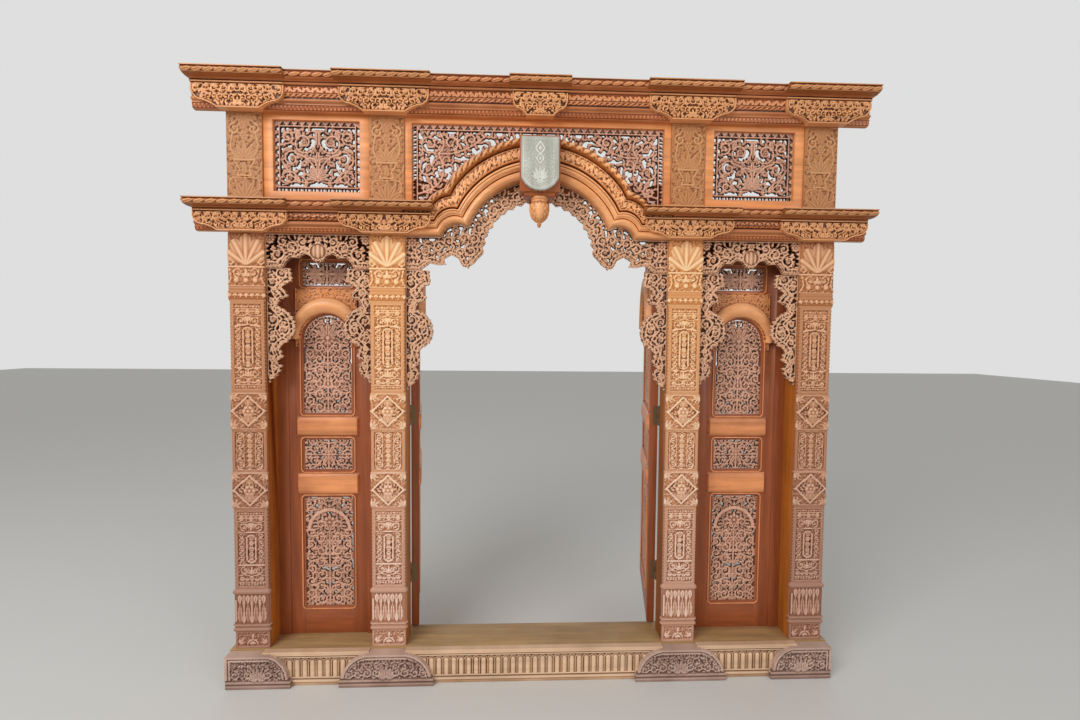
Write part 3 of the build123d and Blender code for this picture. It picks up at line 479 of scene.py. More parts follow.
def leaf(board, x, z, angle, length, width, top=0.9, lobes=0):
    """A pointed leaf that grows from (x, z), domed, with a cut midrib."""
    part, dx, dz = board.near(x, z, length)
    if not dx.size:
        return
    turn = math.radians(angle)
    along = (dx * math.cos(turn) + dz * math.sin(turn)) / length
    beside = np.abs(dz * math.cos(turn) - dx * math.sin(turn))
    edge = 0.5 * width * np.sin(np.pi * np.clip(along, 0, 1) ** 0.75) + 0.01
    if lobes:
        edge *= 0.72 + 0.28 * np.abs(np.cos(np.pi * along * lobes))
    dome = 1 - (beside / edge) ** 2
    rib = 0.3 * np.exp(-(beside / (0.09 * width)) ** 2) * (along < 0.85)
    board.leave(part, np.where((along > 0) & (along < 1) & (dome > 0), top * (0.62 + 0.38 * dome) - rib, 0))


def stem(board, points, width, top=0.9):
    """A round stem through the points."""
    for (x0, z0), (x1, z1) in zip(points, points[1:]):
        length = math.hypot(x1 - x0, z1 - z0) + 1e-6
        part, dx, dz = board.near((x0 + x1) / 2, (z0 + z1) / 2, length / 2 + width)
        if not dx.size:
            continue
        ux, uz = (x1 - x0) / length, (z1 - z0) / length
        along = np.clip(dx * ux + dz * uz, -length / 2, length / 2)
        far = np.hypot(dx - along * ux, dz - along * uz) / (width / 2)
        board.leave(part, np.where(far < 1, top * (0.6 + 0.4 * np.sqrt(1 - np.clip(far, 0, 1) ** 2)), 0))


def vine(board, start, bend, end, width=6.5, top=0.92, leaves=3):
    """A stem that swings from one point to another past a third, with small leaves on both sides."""
    path = []
    for number in range(13):
        share = number / 12
        path.append(tuple(a * (1 - share) ** 2 + 2 * c * share * (1 - share) + e * share ** 2
                          for a, c, e in zip(start, bend, end)))
    stem(board, path, width, top)
    for number in range(leaves):
        here, there = path[2 + number * 8 // max(1, leaves - 1)], path[3 + number * 8 // max(1, leaves - 1)]
        heading = math.degrees(math.atan2(there[1] - here[1], there[0] - here[0]))
        leaf(board, *here, heading + 48, 3.6 * width, 2 * width, top * 0.95)
        leaf(board, *here, heading - 48, 3.2 * width, 1.8 * width, top * 0.88)


def flower(board, x, z, radius, petals=8, top=1.0):
    """An open flower: rounded petals with a cut between them, and a domed eye."""
    part, dx, dz = board.near(x, z, radius * 1.02)
    if not dx.size:
        return
    far = np.hypot(dx, dz) / radius
    fold = np.abs(np.cos(np.arctan2(dz, dx) * petals / 2))
    edge = 0.66 + 0.34 * fold ** 0.5
    petal = 0.45 + 0.4 * np.sin(np.pi * np.clip((far - 0.25) / 0.75, 0, 1)) * fold ** 0.4
    eye = np.sqrt(np.clip(1 - (far / 0.26) ** 2, 0, 1))
    board.leave(part, top * np.where(far < 0.26, 0.55 + 0.45 * eye, np.where(far < edge, petal, 0)))


def curl(board, x, z, radius, start, width=6.5, hand=1, leaves=5, top=0.92):
    """A vine that winds in to a small flower, with leaves along its outside."""
    turns, petals = 1.15, 5
    count = int(16 * turns)
    path = []
    for number in range(count + 1):
        share = number / count
        angle = math.radians(start) + hand * 2 * math.pi * turns * share
        reach = radius * (1 - 0.66 * share)
        path.append((x + reach * math.cos(angle), z + reach * math.sin(angle)))
        if leaves and number % max(1, count // (leaves + 2)) == 1 and share < 0.75:
            heading = math.degrees(angle) + hand * 52
            leaf(board, *path[-1], heading, radius * 0.52, radius * 0.3, top * 0.92, lobes=2)
            leaf(board, *path[-1], heading + 96 * hand, radius * 0.3, radius * 0.2, top * 0.85)
    stem(board, path, width, top)
    flower(board, x, z, radius * 0.34, petals, top)


def fan(board, x, z, angle, spread, count, length, width, top=0.95):
    """Leaves that spread out from one foot, the middle one longest."""
    for number in range(count):
        share = 0 if count == 1 else number / (count - 1) - 0.5
        leaf(board, x, z, angle + spread * share, length * (1 - 0.5 * abs(share)), width, top)


def distance_in(room, pitch, limit=40):
    """How far each point of a shape is from its edge, in mm, up to a limit."""
    far = np.where(room, float(limit), 0.0)
    for _ in range(int(limit / pitch)):
        edge = np.pad(far, 1)
        straight = np.minimum.reduce([edge[:-2, 1:-1], edge[2:, 1:-1], edge[1:-1, :-2], edge[1:-1, 2:]])
        slanted = np.minimum.reduce([edge[:-2, :-2], edge[2:, 2:], edge[:-2, 2:], edge[2:, :-2]])
        far = np.minimum(far, np.minimum(straight + pitch, slanted + 1.414 * pitch))
    return np.where(room, far, 0)


def reached(seed, room):
    """The part of a shape that can be walked to from the seed without leaving it."""
    found = seed & room
    while True:
        edge = np.pad(found, 1)
        wider = (edge[:-2, 1:-1] | edge[2:, 1:-1] | edge[1:-1, :-2] | edge[1:-1, 2:] | found) & room
        if wider.sum() == found.sum():
            return found
        found = wider


def fill(board, room, size, seed, top=0.8, until=0.25, apart=0.62, slender=0.55):
    """Cover bare ground with small leaves that grow out of the carving beside them."""
    pick = random.Random(seed)
    slope_up, slope_across = np.gradient(softened(board.wood, 5))
    for x in steps(board.lines[0] + size / 2, board.lines[-1] - size / 2, size * apart):
        for z in steps(board.rows[0] + size / 2, board.rows[-1] - size / 2, size * apart):
            spot_x, spot_z = x + pick.uniform(-0.3, 0.3) * size, z + pick.uniform(-0.3, 0.3) * size
            lean = pick.uniform(-35, 35)
            row = min(len(board.rows) - 1, np.searchsorted(board.rows, spot_z))
            line = min(len(board.lines) - 1, np.searchsorted(board.lines, spot_x))
            if not room[row, line] or board.wood[row, line] > until:
                continue
            angle = math.degrees(math.atan2(-slope_up[row, line], -slope_across[row, line])) + lean
            turn = math.radians(angle)
            leaf(board, spot_x - 0.6 * size * math.cos(turn), spot_z - 0.6 * size * math.sin(turn),
                 angle, size * 1.1, size * slender, top)


def row_along(board, far, value, pitch, side=None):
    """Points about a pitch apart along the line where far has one value, and the way out there."""
    slope_up, slope_across = np.gradient(softened(far, 2))
    band = np.abs(far - value) < 0.55 * (board.rows[1] - board.rows[0])
    if side is not None:
        band &= side
    chosen = []
    for row, line in zip(*np.nonzero(band)):
        x, z = board.lines[line], board.rows[row]
        if all((x - a) ** 2 + (z - c) ** 2 > pitch ** 2 for a, c, _ in chosen):
            out = math.degrees(math.atan2(-slope_up[row, line], -slope_across[row, line]))
            chosen.append((x, z, out))
    return chosen


def bar(board, far, low, high, top=1.0):
    """A raised line that follows the edge of the shape, between two distances from it."""
    middle, half = (low + high) / 2, (high - low) / 2
    share = np.clip(1 - ((far - middle) / half) ** 2, 0, 1)
    board.leave(np.s_[:, :], np.where(share > 0, top * (0.62 + 0.38 * share), 0))


def hole(board, x, z, angle, length, width):
    """A small kite-shaped hole, its point at the far end of the angle."""
    part, dx, dz = board.near(x, z, length)
    turn = math.radians(angle)
    along = (dx * math.cos(turn) + dz * math.sin(turn)) / length + 0.5
    beside = np.abs(dz * math.cos(turn) - dx * math.sin(turn))
    board.gap[part] |= (along > 0) & (along < 1) & (beside < 0.5 * width * (1 - along))


def shape_of(node, pitch=cell, turned=Matrix.Identity(4)):
    """A board as large as a CAD node, and which of its points lie on the node from the front."""
    mesh = nodes[node].data
    back_again = turned.inverted()
    spots = np.array([back_again @ vertex.co for vertex in mesh.vertices]) / mm
    low, high = spots.min(0), spots.max(0)
    board = Board(steps(low[0], high[0], pitch), steps(low[2], high[2], pitch))
    mesh.calc_loop_triangles()
    inside = np.zeros(board.across.shape, bool)
    for triangle in mesh.loop_triangles:
        if (back_again.to_3x3() @ triangle.normal).y > -0.2:
            continue
        corners = [(spots[v][0], spots[v][2]) for v in triangle.vertices]
        xs, zs = zip(*corners)
        up = slice(*np.searchsorted(board.rows, (min(zs) - 0.1, max(zs) + 0.1)))
        across = slice(*np.searchsorted(board.lines, (min(xs) - 0.1, max(xs) + 0.1)))
        dx, dz = board.across[up, across], board.up[up, across]
        sides = [(x1 - x0) * (dz - z0) - (z1 - z0) * (dx - x0)
                 for (x0, z0), (x1, z1) in zip(corners, corners[1:] + corners[:1])]
        (x0, z0), (x1, z1), (x2, z2) = corners
        way = 1 if (x1 - x0) * (z2 - z0) - (z1 - z0) * (x2 - x0) > 0 else -1
        inside[up, across] |= (np.array(sides) * way > -0.5).all(0)
    ring = np.pad(~inside, 1, constant_values=True)
    outside = np.zeros(ring.shape, bool)
    outside[0, 0] = True
    return board, ~reached(outside, ring)[1:-1, 1:-1]


def saw(piece, cells):
    """Cut away the squares of a grid that aren't wood, and round the sawn edge."""
    if cells.all():
        return
    for kind in (piece.data.vertices, piece.data.edges):
        kind.foreach_set("select", np.zeros(len(kind), bool))
    piece.data.polygons.foreach_set("select", ~cells.ravel())
    bpy.context.view_layer.objects.active = piece
    bpy.context.tool_settings.mesh_select_mode = (False, False, True)
    bpy.ops.object.mode_set(mode="EDIT")
    bpy.ops.mesh.delete(type="FACE")
    bpy.ops.mesh.select_mode(type="VERT")
    bpy.ops.mesh.select_all(action="DESELECT")
    bpy.ops.mesh.select_non_manifold(extend=False)
    bpy.ops.mesh.vertices_smooth(factor=0.5, repeat=2)
    bpy.ops.object.mode_set(mode="OBJECT")


def reached_by_steps(shape, count):
    """A shape grown by a number of points on all sides."""
    for _ in range(count):
        edge = np.pad(shape, 1)
        shape = shape | edge[:-2, 1:-1] | edge[2:, 1:-1] | edge[1:-1, :-2] | edge[1:-1, 2:]
    return shape


def pierced_board(name, board, place, back, room, anchor=None, shade_web_steps=1):
    """Cut the grid to its carving, round the cut edges, and give it its thickness. A thin sunk
    web is left round the carving, coloured near black as painted shade in the gaps, and what
    hangs on neither the anchor nor the board's sides falls out."""
    carving = room & (board.wood > 0.3) & ~board.gap
    # The web is sunk to the ground and coloured near black: painted shade standing for the dark space behind
    # the holes
    web = reached_by_steps(carving, shade_web_steps) & room & (distance_in(room, cell, 12) > 7)
    board.wood = np.where(carving, board.wood, 0)
    keep = carving | web
    piece = bench_grid(name, board, place)
    cells = (keep[:-1, :-1].astype(int) + keep[1:, :-1] + keep[:-1, 1:] + keep[1:, 1:]) >= 3
    for _ in range(2):
        crossed = cells[:-1, :-1] & cells[1:, 1:] & ~cells[1:, :-1] & ~cells[:-1, 1:]
        cells[1:, :-1] |= crossed
        crossed = cells[1:, :-1] & cells[:-1, 1:] & ~cells[:-1, :-1] & ~cells[1:, 1:]
        cells[:-1, :-1] |= crossed
    if anchor is None:
        seed = np.zeros(cells.shape, bool)
        seed[[0, -1], :] = True
        seed[:, [0, -1]] = True
    else:
        seed = anchor[:-1, :-1]
    saw(piece, reached(seed, cells))
    count = len(piece.data.vertices)
    thickness = piece.modifiers.new("thickness", "SOLIDIFY")
    thickness.thickness = 0.004
    thickness.offset = -1
    bpy.ops.object.modifier_apply(modifier=thickness.name)
    spots = np.zeros(len(piece.data.vertices) * 3)
    piece.data.vertices.foreach_get("co", spots)
    spots = spots.reshape(-1, 3)
    spots[count:] = spots[:count]
    spots[count:, 1] = back * mm
    piece.data.vertices.foreach_set("co", spots.ravel())
    piece.data.update()
    worked(piece)
    return piece


def flat_place(face, depth):
    """A board whose face lies at y = face and whose carving goes back by depth."""
    return lambda across, up, wood: (across, face + depth * (1 - wood), up)


def toothed_border(board, far, room):
    """A flat rim with a row of large pointed holes, and a thin raised line inside it."""
    board.leave(np.s_[:, :], np.where(room & (far < 23), 0.76, 0))
    bar(board, far, 21, 29, 1.0)
    for x, z, out in row_along(board, far, 12.8, 32):
        hole(board, x, z, out, 17, 24)


def side_panel():
    """The left upper panel: a palmette at its foot, and stems that part into tall scrolls."""
    board, room = shape_of("upper_openwork_left")
    far = distance_in(room, cell)
    toothed_border(board, far, room)
    middle, half = (board.lines[0] + board.lines[-1]) / 2, (board.lines[-1] - board.lines[0]) / 2 - 30
    low, high = board.rows[0] + 30, board.rows[-1] - 30
    tall = high - low
    vine(board, (middle, low + 30), (middle - 0.12 * half, low + 0.5 * tall),
         (middle - 0.62 * half, low + 0.56 * tall), 9)
    vine(board, (middle - 0.06 * half, low + 0.36 * tall), (middle + 2, low + 0.52 * tall),
         (middle - 0.34 * half, low + 0.46 * tall), 9, leaves=2)
    vine(board, (middle - 20, low + 16), (middle - 0.6 * half, low - 8),
         (middle - 0.9 * half, low + 0.34 * tall), 8)
    for u, v, radius, start, hand in ((-0.38, 0.75, 0.33, 0, -1), (-0.84, 0.84, 0.18, -90, 1),
                                      (-0.72, 0.47, 0.22, 60, 1), (-0.76, 0.13, 0.17, 90, -1)):
        curl(board, middle + u * half, low + v * tall, radius * half, start, hand=hand, width=8.5, leaves=5)
    for u, v, angle in ((-0.98, 0.6, 20), (-0.98, 0.3, 20), (-0.6, 1.0, -60), (-0.5, 0.98, -110),
                        (-0.5, 0.02, 110)):
        leaf(board, middle + u * half, low + v * tall, angle, 46, 19, 0.9)
    board.mirror()
    fan(board, middle, low + 34, 90, 200, 9, 76, 19)
    flower(board, middle, low + 36, 24, 8)
    leaf(board, middle, high - 4, -90, 84, 28)
    leaf(board, middle, low + 0.42 * tall, 90, 46, 24)
    fill(board, room & (far > 28), 27, 3, apart=1.0, slender=0.44)
    board.mirror()
    return board, room


# Pierced teak's near-black hollow colour is painted shade in the gaps and on the sunk web
pierced_teak = teak("pierced_teak", (132, 84, 62), (30, 12, 6), (218, 168, 142), roughness=0.62, dusty=0.3)
panel_carved, fret_carved = 10, 6
board, room = side_panel()
for side in ("left", "right"):
    face, back = (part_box("upper_openwork_" + side)[end].y / mm for end in (0, 1))
    piece = pierced_board("upper_carving_" + side, board, flat_place(face, panel_carved), back, room)
    fitted(piece, pierced_teak, "facade", "pierced_teak", "upper_openwork_" + side)
    board, room = board.reversed(), room[:, ::-1]


def centre_panel():
    """The panel over the arch: scrolls round a flower in both corners beside it."""
    board, room = shape_of("upper_openwork_centre")
    far = distance_in(room, cell)
    toothed_border(board, far, room)
    for x, z, radius, start, hand in ((-480, 2396, 42, -60, -1), (-486, 2290, 42, 90, 1),
                                      (-386, 2402, 34, -90, 1), (-404, 2326, 28, 30, -1),
                                      (-492, 2204, 28, 90, -1), (-300, 2418, 26, -120, -1)):
        curl(board, x, z, radius, start, hand=hand, width=8.5)
    vine(board, (-540, 2176), (-372, 2216), (-440, 2352), 9, leaves=4)
    vine(board, (-440, 2356), (-340, 2340), (-230, 2440), 8.5, leaves=4)
    vine(board, (-440, 2356), (-400, 2390), (-436, 2446), 8)
    flower(board, -438, 2354, 27, 8)
    board.mirror()
    fill(board, room & (far > 28), 27, 5, apart=1.0, slender=0.44)
    board.mirror()
    return board, room


board, room = centre_panel()
face, back = (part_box("upper_openwork_centre")[end].y / mm for end in (0, 1))
piece = pierced_board("upper_carving_centre", board, flat_place(face, panel_carved), back, room)
fitted(piece, pierced_teak, "facade", "pierced_teak", "upper_openwork_centre")


# Hanging fretwork: thin pierced teak boards, nailed up under the cornice and the arch, and a
# leg of them down each side of a post. A double raised line follows the free edge, with
# small leaf tips outside it.

def far_from(room, fixed):
    """How far each point is from the shape's edges, not counting the sides where it is fixed."""
    margin = 14
    wide = np.pad(room, margin)
    if "left" in fixed:
        wide[:, :margin] = wide[:, margin:margin + 1]
    if "right" in fixed:
        wide[:, -margin:] = wide[:, -margin - 1:-margin]
    if "top" in fixed:
        wide[-margin:, :] = wide[-margin - 1:-margin, :]
    if "bottom" in fixed:
        wide[:margin, :] = wide[margin:margin + 1, :]
    return distance_in(wide, cell)[margin:-margin, margin:-margin]


def fret_edge(board, room, far):
    """The free edge of a fret: leaf tips outside, and two raised lines with small leaves between them."""
    bar(board, far, 9, 16, 0.95)
    bar(board, far, 25, 31, 0.9)
    for x, z, out in row_along(board, far, 9.6, 19, room):
        leaf(board, x, z, out + 12, 17, 15, 0.95)
        leaf(board, x, z, out - 70, 12, 9, 0.8)
    for x, z, out in row_along(board, far, 22.4, 23, room):
        leaf(board, x, z, out + 150, 16, 11, 0.85)
        leaf(board, x, z, out + 20, 12, 10, 0.85)


def fret_leg_board(node, wall_side):
    """A hanging leg: curls that step from side to side down a stem, beside its fixed edge."""
    board, room = shape_of(node)
    wall = board.lines[0] if wall_side == "left" else board.lines[-1]
    inward = 1 if wall_side == "left" else -1
    reach = np.abs(board.across - wall)
    fret_edge(board, room, far_from(room, (wall_side, "top")))
    board.leave(np.s_[:, :], np.where(room & (reach < 6), 0.8, 0))
    high = board.rows[-1]
    spots = []
    for number, dz in enumerate(steps(16, high - board.rows[0] - 40, 40)):
        row = np.searchsorted(board.rows, high - dz)
        room_wide = max(30, reach[row][room[row]].max() - 30)
        way = 1 if number % 2 else -1
        stem_x, curl_x, side_x = (wall + inward * (6 + room_wide * (0.5 + share * way))
                                  for share in (0.2, -0.24, 0.34))
        spots.append((stem_x, high - dz))
        radius = min(27, 0.34 * room_wide)
        curl(board, curl_x, high - dz - 4, radius, 90 + 90 * way, hand=way * inward, width=7)
        if room_wide > 70:
            curl(board, side_x, high - dz - 22, radius * 0.8, 90, hand=-way * inward, width=7)
    stem(board, spots, 8)
    fill(board, room & (reach > 5), 24, 7, apart=0.95, slender=0.44)
    board.leave(np.s_[:, :], np.where(room & (board.up > high - 5), 0.8, 0))
    return board, room, room & ((reach < 5) | (board.up > high - 5))


# Fret teak's near-black hollow colour is painted shade in the gaps and on the sunk web
fret_teak = teak("fret_teak", (138, 86, 56), (32, 12, 6), (226, 176, 140), dusty=0.25)
for part in ("doorway", "bay_inner", "bay_outer"):
    wall_side = "right" if part == "bay_inner" else "left"
    board, room, anchor = fret_leg_board("fret_leg_" + part + "_left", wall_side)
    for side in ("left", "right"):
        node = "fret_leg_" + part + "_" + side
        face, back = (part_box(node)[end].y / mm for end in (0, 1))
        piece = pierced_board(node + "_carving", board, flat_place(face, fret_carved), back, room, anchor)
        fitted(piece, fret_teak, "facade", "pierced_teak", node)
        board, room, anchor = board.reversed(), room[:, ::-1], anchor[:, ::-1]


def crown_board(node, curls, flowers, seed):
    """A crown piece: a bright line along the arch or cornice, the hanging edge, and curls between."""
    board, room = shape_of(node)
    middle = (board.lines[0] + board.lines[-1]) / 2
    top_row, low_row = np.zeros(room.shape, bool), np.zeros(room.shape, bool)
    top_row[-1, :] = low_row[0, :] = True
    above, below = reached(top_row, ~room), reached(low_row, ~room)
    fret_edge(board, room, far_from(room | above, ("left", "right", "top")))
    hung_from = far_from(room | below, ("left", "right", "bottom"))
    board.leave(np.s_[:, :], np.where(room & (hung_from < 7), 1.0, 0))
    for dx, z, radius, start, hand in curls:
        curl(board, middle + dx, z, radius, start, hand=hand, width=7.5)
    for dx, z, radius, petals in flowers:
        flower(board, middle + dx, z, radius, petals)
    board.mirror()
    ends = room & (np.abs(board.across - middle) > board.lines[-1] - middle - 6)
    board.leave(np.s_[:, :], np.where(ends, 0.8, 0))
    fill(board, room, 24, seed, apart=0.92, slender=0.44)
    board.mirror()
    return board, room, room & ((hung_from < 6) | ends)


# Left half of each crown: how far from the middle, how high, radius, start and hand of a curl
doorway_curls = [(-505, 1930, 46, -60, -1), (-440, 1950, 26, 30, 1), (-395, 1975, 24, -90, -1),
                 (-300, 1935, 30, 90, 1), (-285, 1985, 24, 180, -1), (-262, 2030, 24, 90, 1),
                 (-236, 2072, 26, 60, -1), (-196, 2112, 26, 40, 1), (-148, 2146, 26, 20, -1),
                 (-96, 2170, 25, 0, 1), (-345, 1925, 20, -90, -1), (-330, 1990, 18, 0, 1)]
board, room, anchor = crown_board("fret_crown_doorway", doorway_curls, [(-556, 1965, 22, 8)], 11)
face, back = (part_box("fret_crown_doorway")[end].y / mm for end in (0, 1))
piece = pierced_board("fret_crown_doorway_carving", board, flat_place(face, fret_carved), back, room, anchor)
fitted(piece, fret_teak, "facade", "pierced_teak", "fret_crown_doorway")

bay_curls = [(-172, 1905, 34, 90, -1), (-112, 1935, 28, -60, 1), (-66, 1960, 22, -90, -1),
             (-150, 1960, 22, 60, 1), (-60, 1925, 16, 0, 1)]
bay_flowers = [(-205, 1968, 20, 8), (0, 1968, 17, 6)]
board, room, anchor = crown_board("fret_crown_bay_left", bay_curls, bay_flowers, 13)
# A fluted boss in a ring, in the middle of each bay's crown
boss_z, boss_radius = 1918, 30
middle = (board.lines[0] + board.lines[-1]) / 2
part, dx, dz = board.near(middle, boss_z, 40)
far = np.hypot(dx, dz)
flutes = 0.12 * np.cos(np.arcsin(np.clip(dx / boss_radius, -1, 1)) * 9) - 0.1
boss = 0.6 + 0.4 * np.sqrt(np.clip(1 - (far / boss_radius) ** 2, 0, 1)) + flutes
round_boss = np.where(far < boss_radius + 3, 0.4, np.where(far < boss_radius + 8, 0.85, board.wood[part]))
board.wood[part] = np.where(far < boss_radius, boss, round_boss)
for side in ("left", "right"):
    node = "fret_crown_bay_" + side
    face, back = (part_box(node)[end].y / mm for end in (0, 1))
    piece = pierced_board(node + "_carving", board, flat_place(face, panel_carved), back, room, anchor)
    fitted(piece, fret_teak, "facade", "pierced_teak", node)
    board, room, anchor = board.reversed(), room[:, ::-1], anchor[:, ::-1]


# Posts: one length of teak each, tenoned into the sill and the head beam, and carved in zones
# on the front and round both corners: base block, leaf frieze, long shafts, diamonds, bars,
# collar, bead block, lobed capital, and a pilaster over the mid cornice.

def carved_solid(piece, room, back):
    """Saw an unpierced board to its outline, and close it at the back."""
    cells = room[:-1, :-1] & room[1:, :-1] & room[:-1, 1:] & room[1:, 1:]
    saw(piece, cells)
    return solid_behind(piece, back)


def joined(*pieces):
    """Glue pieces into one."""
    bpy.ops.object.select_all(action="DESELECT")
    for piece in pieces:
        piece.select_set(True)
    bpy.context.view_layer.objects.active = pieces[0]
    bpy.ops.object.join()
    bpy.ops.object.select_all(action="DESELECT")
    return pieces[0]


post_teak = teak("post_teak", (214, 138, 74), (98, 46, 18), (255, 214, 164), dusty=0.22,
                 aged=(((184, 126, 96), (246, 212, 192)), ((178, 116, 66), (218, 162, 112))))
outer_post_teak = teak("outer_post_teak", (176, 108, 60), (70, 32, 14), (236, 184, 142), dusty=0.3,
                       aged=(((150, 98, 74), (216, 174, 152)), ((172, 112, 64), (212, 158, 108))))
post_half, wrap, corner, post_relief = 75.0, 15.0, 3.0, 6.0
post_pitch = 3.8
# Heights of the carved zones, from the foot up
post_foot, base_top, frieze_low, frieze_top = 152, 231, 266, 400
shafts, diamonds = ((419, 789), (1300, 1702)), ((789, 947), (1140, 1300))
bars_middle, collar_top, bead_low, capital_low, capital_top = 1043, 1733, 1761, 1846, 1993
pilaster_low, pilaster_top = 2120, 2500


def wrapped(across, proud):
    """Where a point of the post's skin lies, round the two front corners, from its centre line."""
    past = np.abs(across) - (post_half - corner)
    turn = np.clip(past / corner, 0, math.pi / 2)
    beyond = np.maximum(past - corner * math.pi / 2, 0)
    x = np.minimum(np.abs(across), post_half - corner) + corner * np.sin(turn) + proud * np.sin(turn)
    y = corner - corner * np.cos(turn) + beyond - proud * np.cos(turn)
    return np.sign(across) * x, y


def post_board():
    """The skin of a post laid flat, carved zone by zone, and how proud of the post each zone is."""
    rows = [steps(post_foot, capital_top, post_pitch), steps(pilaster_low, pilaster_top, post_pitch)]
    half = post_half + wrap
    board = Board(steps(-half, half, post_pitch), np.concatenate(rows))
    level = np.zeros(board.wood.shape)
    board.wood[:] = 0.6
    x, z = board.across, board.up

    def torus(low, high, proud):
        """A round moulding between two heights."""
        inside = (z >= low) & (z <= high)
        bulge = np.sqrt(np.clip(1 - ((z - (low + high) / 2) / ((high - low) / 2)) ** 2, 0, 1))
        level[inside] = (proud * bulge)[inside]

    def field(low, high, sink, margin=17.0, proud=0.0):
        """A sunk panel with a plain border, ready to carve."""
        level[(z >= low) & (z <= high)] = proud
        inside = (z > low + margin) & (z < high - margin) & (np.abs(x) < post_half - margin)
        level[inside] = proud - sink
        board.wood[inside] = 0.26
        return inside

    def clear(low, high, proud, half=post_half + 3):
        """A zone cut down to its ground all over, ready to carve."""
        inside = (z > low) & (z < high)
        level[inside] = proud
        board.wood[inside & (np.abs(x) < half)] = 0.3
        return inside & (np.abs(x) < half)

    # Base block with a lunette, then the moulding over it
    room = field(post_foot, base_top, 2, 9)
    for far, high in ((26, 0.95), (19, 0.5), (15, 1.0)):
        part, dx, dz = board.near(0, 168, far)
        board.wood[part] = np.where((np.hypot(dx, dz) < far) & (dz > 0), high, board.wood[part])
    fan(board, -58, 172, 55, 70, 3, 34, 12)
    fan(board, 58, 172, 125, 70, 3, 34, 12)
    leaf(board, 0, 196, 90, 24, 12)
    fill(board, room, 13, 31, 0.66, until=0.35)
    torus(base_top, 246, 9)
    torus(247, 254, 4)
    torus(255, frieze_low, 9)
    # Leaf frieze: tall leaves with cut stems, and drops under the fillet
    clear(frieze_low, frieze_top, 3)
    for spot in (-52, -17, 17, 52):
        leaf(board, spot, 272, 90, 84, 30, 0.8, lobes=4)
        leaf(board, spot, 398, -90, 46, 20, 1.0)
        stem(board, [(spot - 17, 278), (spot - 17, 372)], 5, 0.9)
    for spot in (-35, 0, 35):
        leaf(board, spot, 398, -90, 62, 18, 0.85)
        leaf(board, spot, 268, 90, 50, 20, 0.95)
    torus(frieze_top, shafts[0][0], 9)
    # Long shafts: beads and a lattice at both ends, an oval or slot between curls
    for (low, high), half_slot in zip(shafts, (62, 85)):
        room = field(low, high, 2.5)
        centre = (low + high) / 2
        for end, way in ((low, 1), (high, -1)):
            for spot in steps(-50, 50, 12):
                flower(board, spot, end + way * 26, 5.5, 4)
            stem(board, [(-58, end + way * 35), (58, end + way * 35)], 4, 0.8)
            for spot in (-42, 0, 42):
                flower(board, spot, end + way * 49, 12, 6)
            for spot in (-21, 21):
                fan(board, spot, end + way * 40, 90 * way, 90, 3, 20, 8)
            stem(board, [(-58, end + way * 62), (-29, end + way * 68), (0, end + way * 60),
                         (29, end + way * 68), (58, end + way * 62)], 4.5, 0.85)
            curl(board, -30, end + way * 86, 18, 90 * way, hand=way, width=5)
            curl(board, 30, end + way * 86, 18, 90 * way, hand=-way, width=5)
            fan(board, 0, end + way * 70, 90 * way, 120, 5, 38, 11)
            stem(board, [(-56, end + way * 112), (0, end + way * (centre - low - half_slot - 12)),
                         (56, end + way * 112)], 6, 0.95)
        part, dx, dz = board.near(0, centre, half_slot + 24)
        inside = np.hypot(dx, np.maximum(np.abs(dz) - (half_slot - 20), 0))
        board.wood[part] = np.where(inside < 23, np.where(inside > 17, 1.0, 0.1), board.wood[part])
        for dz in steps(-half_slot + 12, half_slot - 12, 26):
            flower(board, 0, centre + dz, 13, 6)
        for dz in steps(-half_slot, half_slot, 22):
            for side in (-1, 1):
                curl(board, side * 44, centre + dz, 12, 90, hand=side, width=4, leaves=3)
        fill(board, room, 14, low, 0.62, until=0.35)
        for spot in steps(low + 10, high - 10, 16):
            for side in (-1, 1):
                part, dx, dz = board.near(side * (post_half + 2), spot, 7)
                dent = np.clip(1 - np.hypot(dx, dz) / 7, 0, 1)
                level[part] -= 2.5 * dent
                board.wood[part] -= 0.3 * dent
    # Diamonds with a flower, between leaves in the corners
    for low, high in diamonds:
        room = clear(low, high, 3)
        centre = (low + high) / 2
        part, dx, dz = board.near(0, centre, 80)
        share = np.abs(dx) / 76 + np.abs(dz) / 72
        ring = (share < 1) & (share > 0.84)
        board.wood[part] = np.where(ring, 0.95, np.where(share < 0.84, 0.1, board.wood[part]))
        level[part] += np.where(share < 1, 2.5 * (1 - share) + 1.5, 0)
        fan(board, 0, centre - 52, 90, 150, 7, 58, 16, 0.85)
        fan(board, 0, centre + 52, -90, 120, 5, 40, 14, 0.8)
        flower(board, 0, centre, 27, 6)
        for side in (-1, 1):
            for way in (-1, 1):
                inward = math.degrees(math.atan2(-way, -side))
                fan(board, side * 74, centre + way * 74, inward, 80, 4, 46, 13, 0.9)
        fill(board, room, 15, low, 0.66, until=0.32)
        inside = (z > low) & (z < high)
        board.wood[inside & ((z < low + 4) | (z > high - 4))] = 0.7
    # Bars: three upright columns of small curls
    room = field(diamonds[0][1], diamonds[1][0], 3, 13)
    for spot in (-40, 0, 40):
        part, dx, dz = board.near(spot, bars_middle, 90)
        inside = np.hypot(dx, np.maximum(np.abs(dz) - 66, 0))
        board.wood[part] = np.where((inside < 17) & (inside > 13.5), 0.9, board.wood[part])
    for number, dz in enumerate(steps(-66, 66, 24)):
        for spot in (-40, 40):
            curl(board, spot, bars_middle + dz, 12, 90, hand=1 if number % 2 else -1, width=4.2, leaves=3)
        flower(board, 0, bars_middle + dz, 12, 6)
    fill(board, room, 13, 37, 0.6, until=0.35)
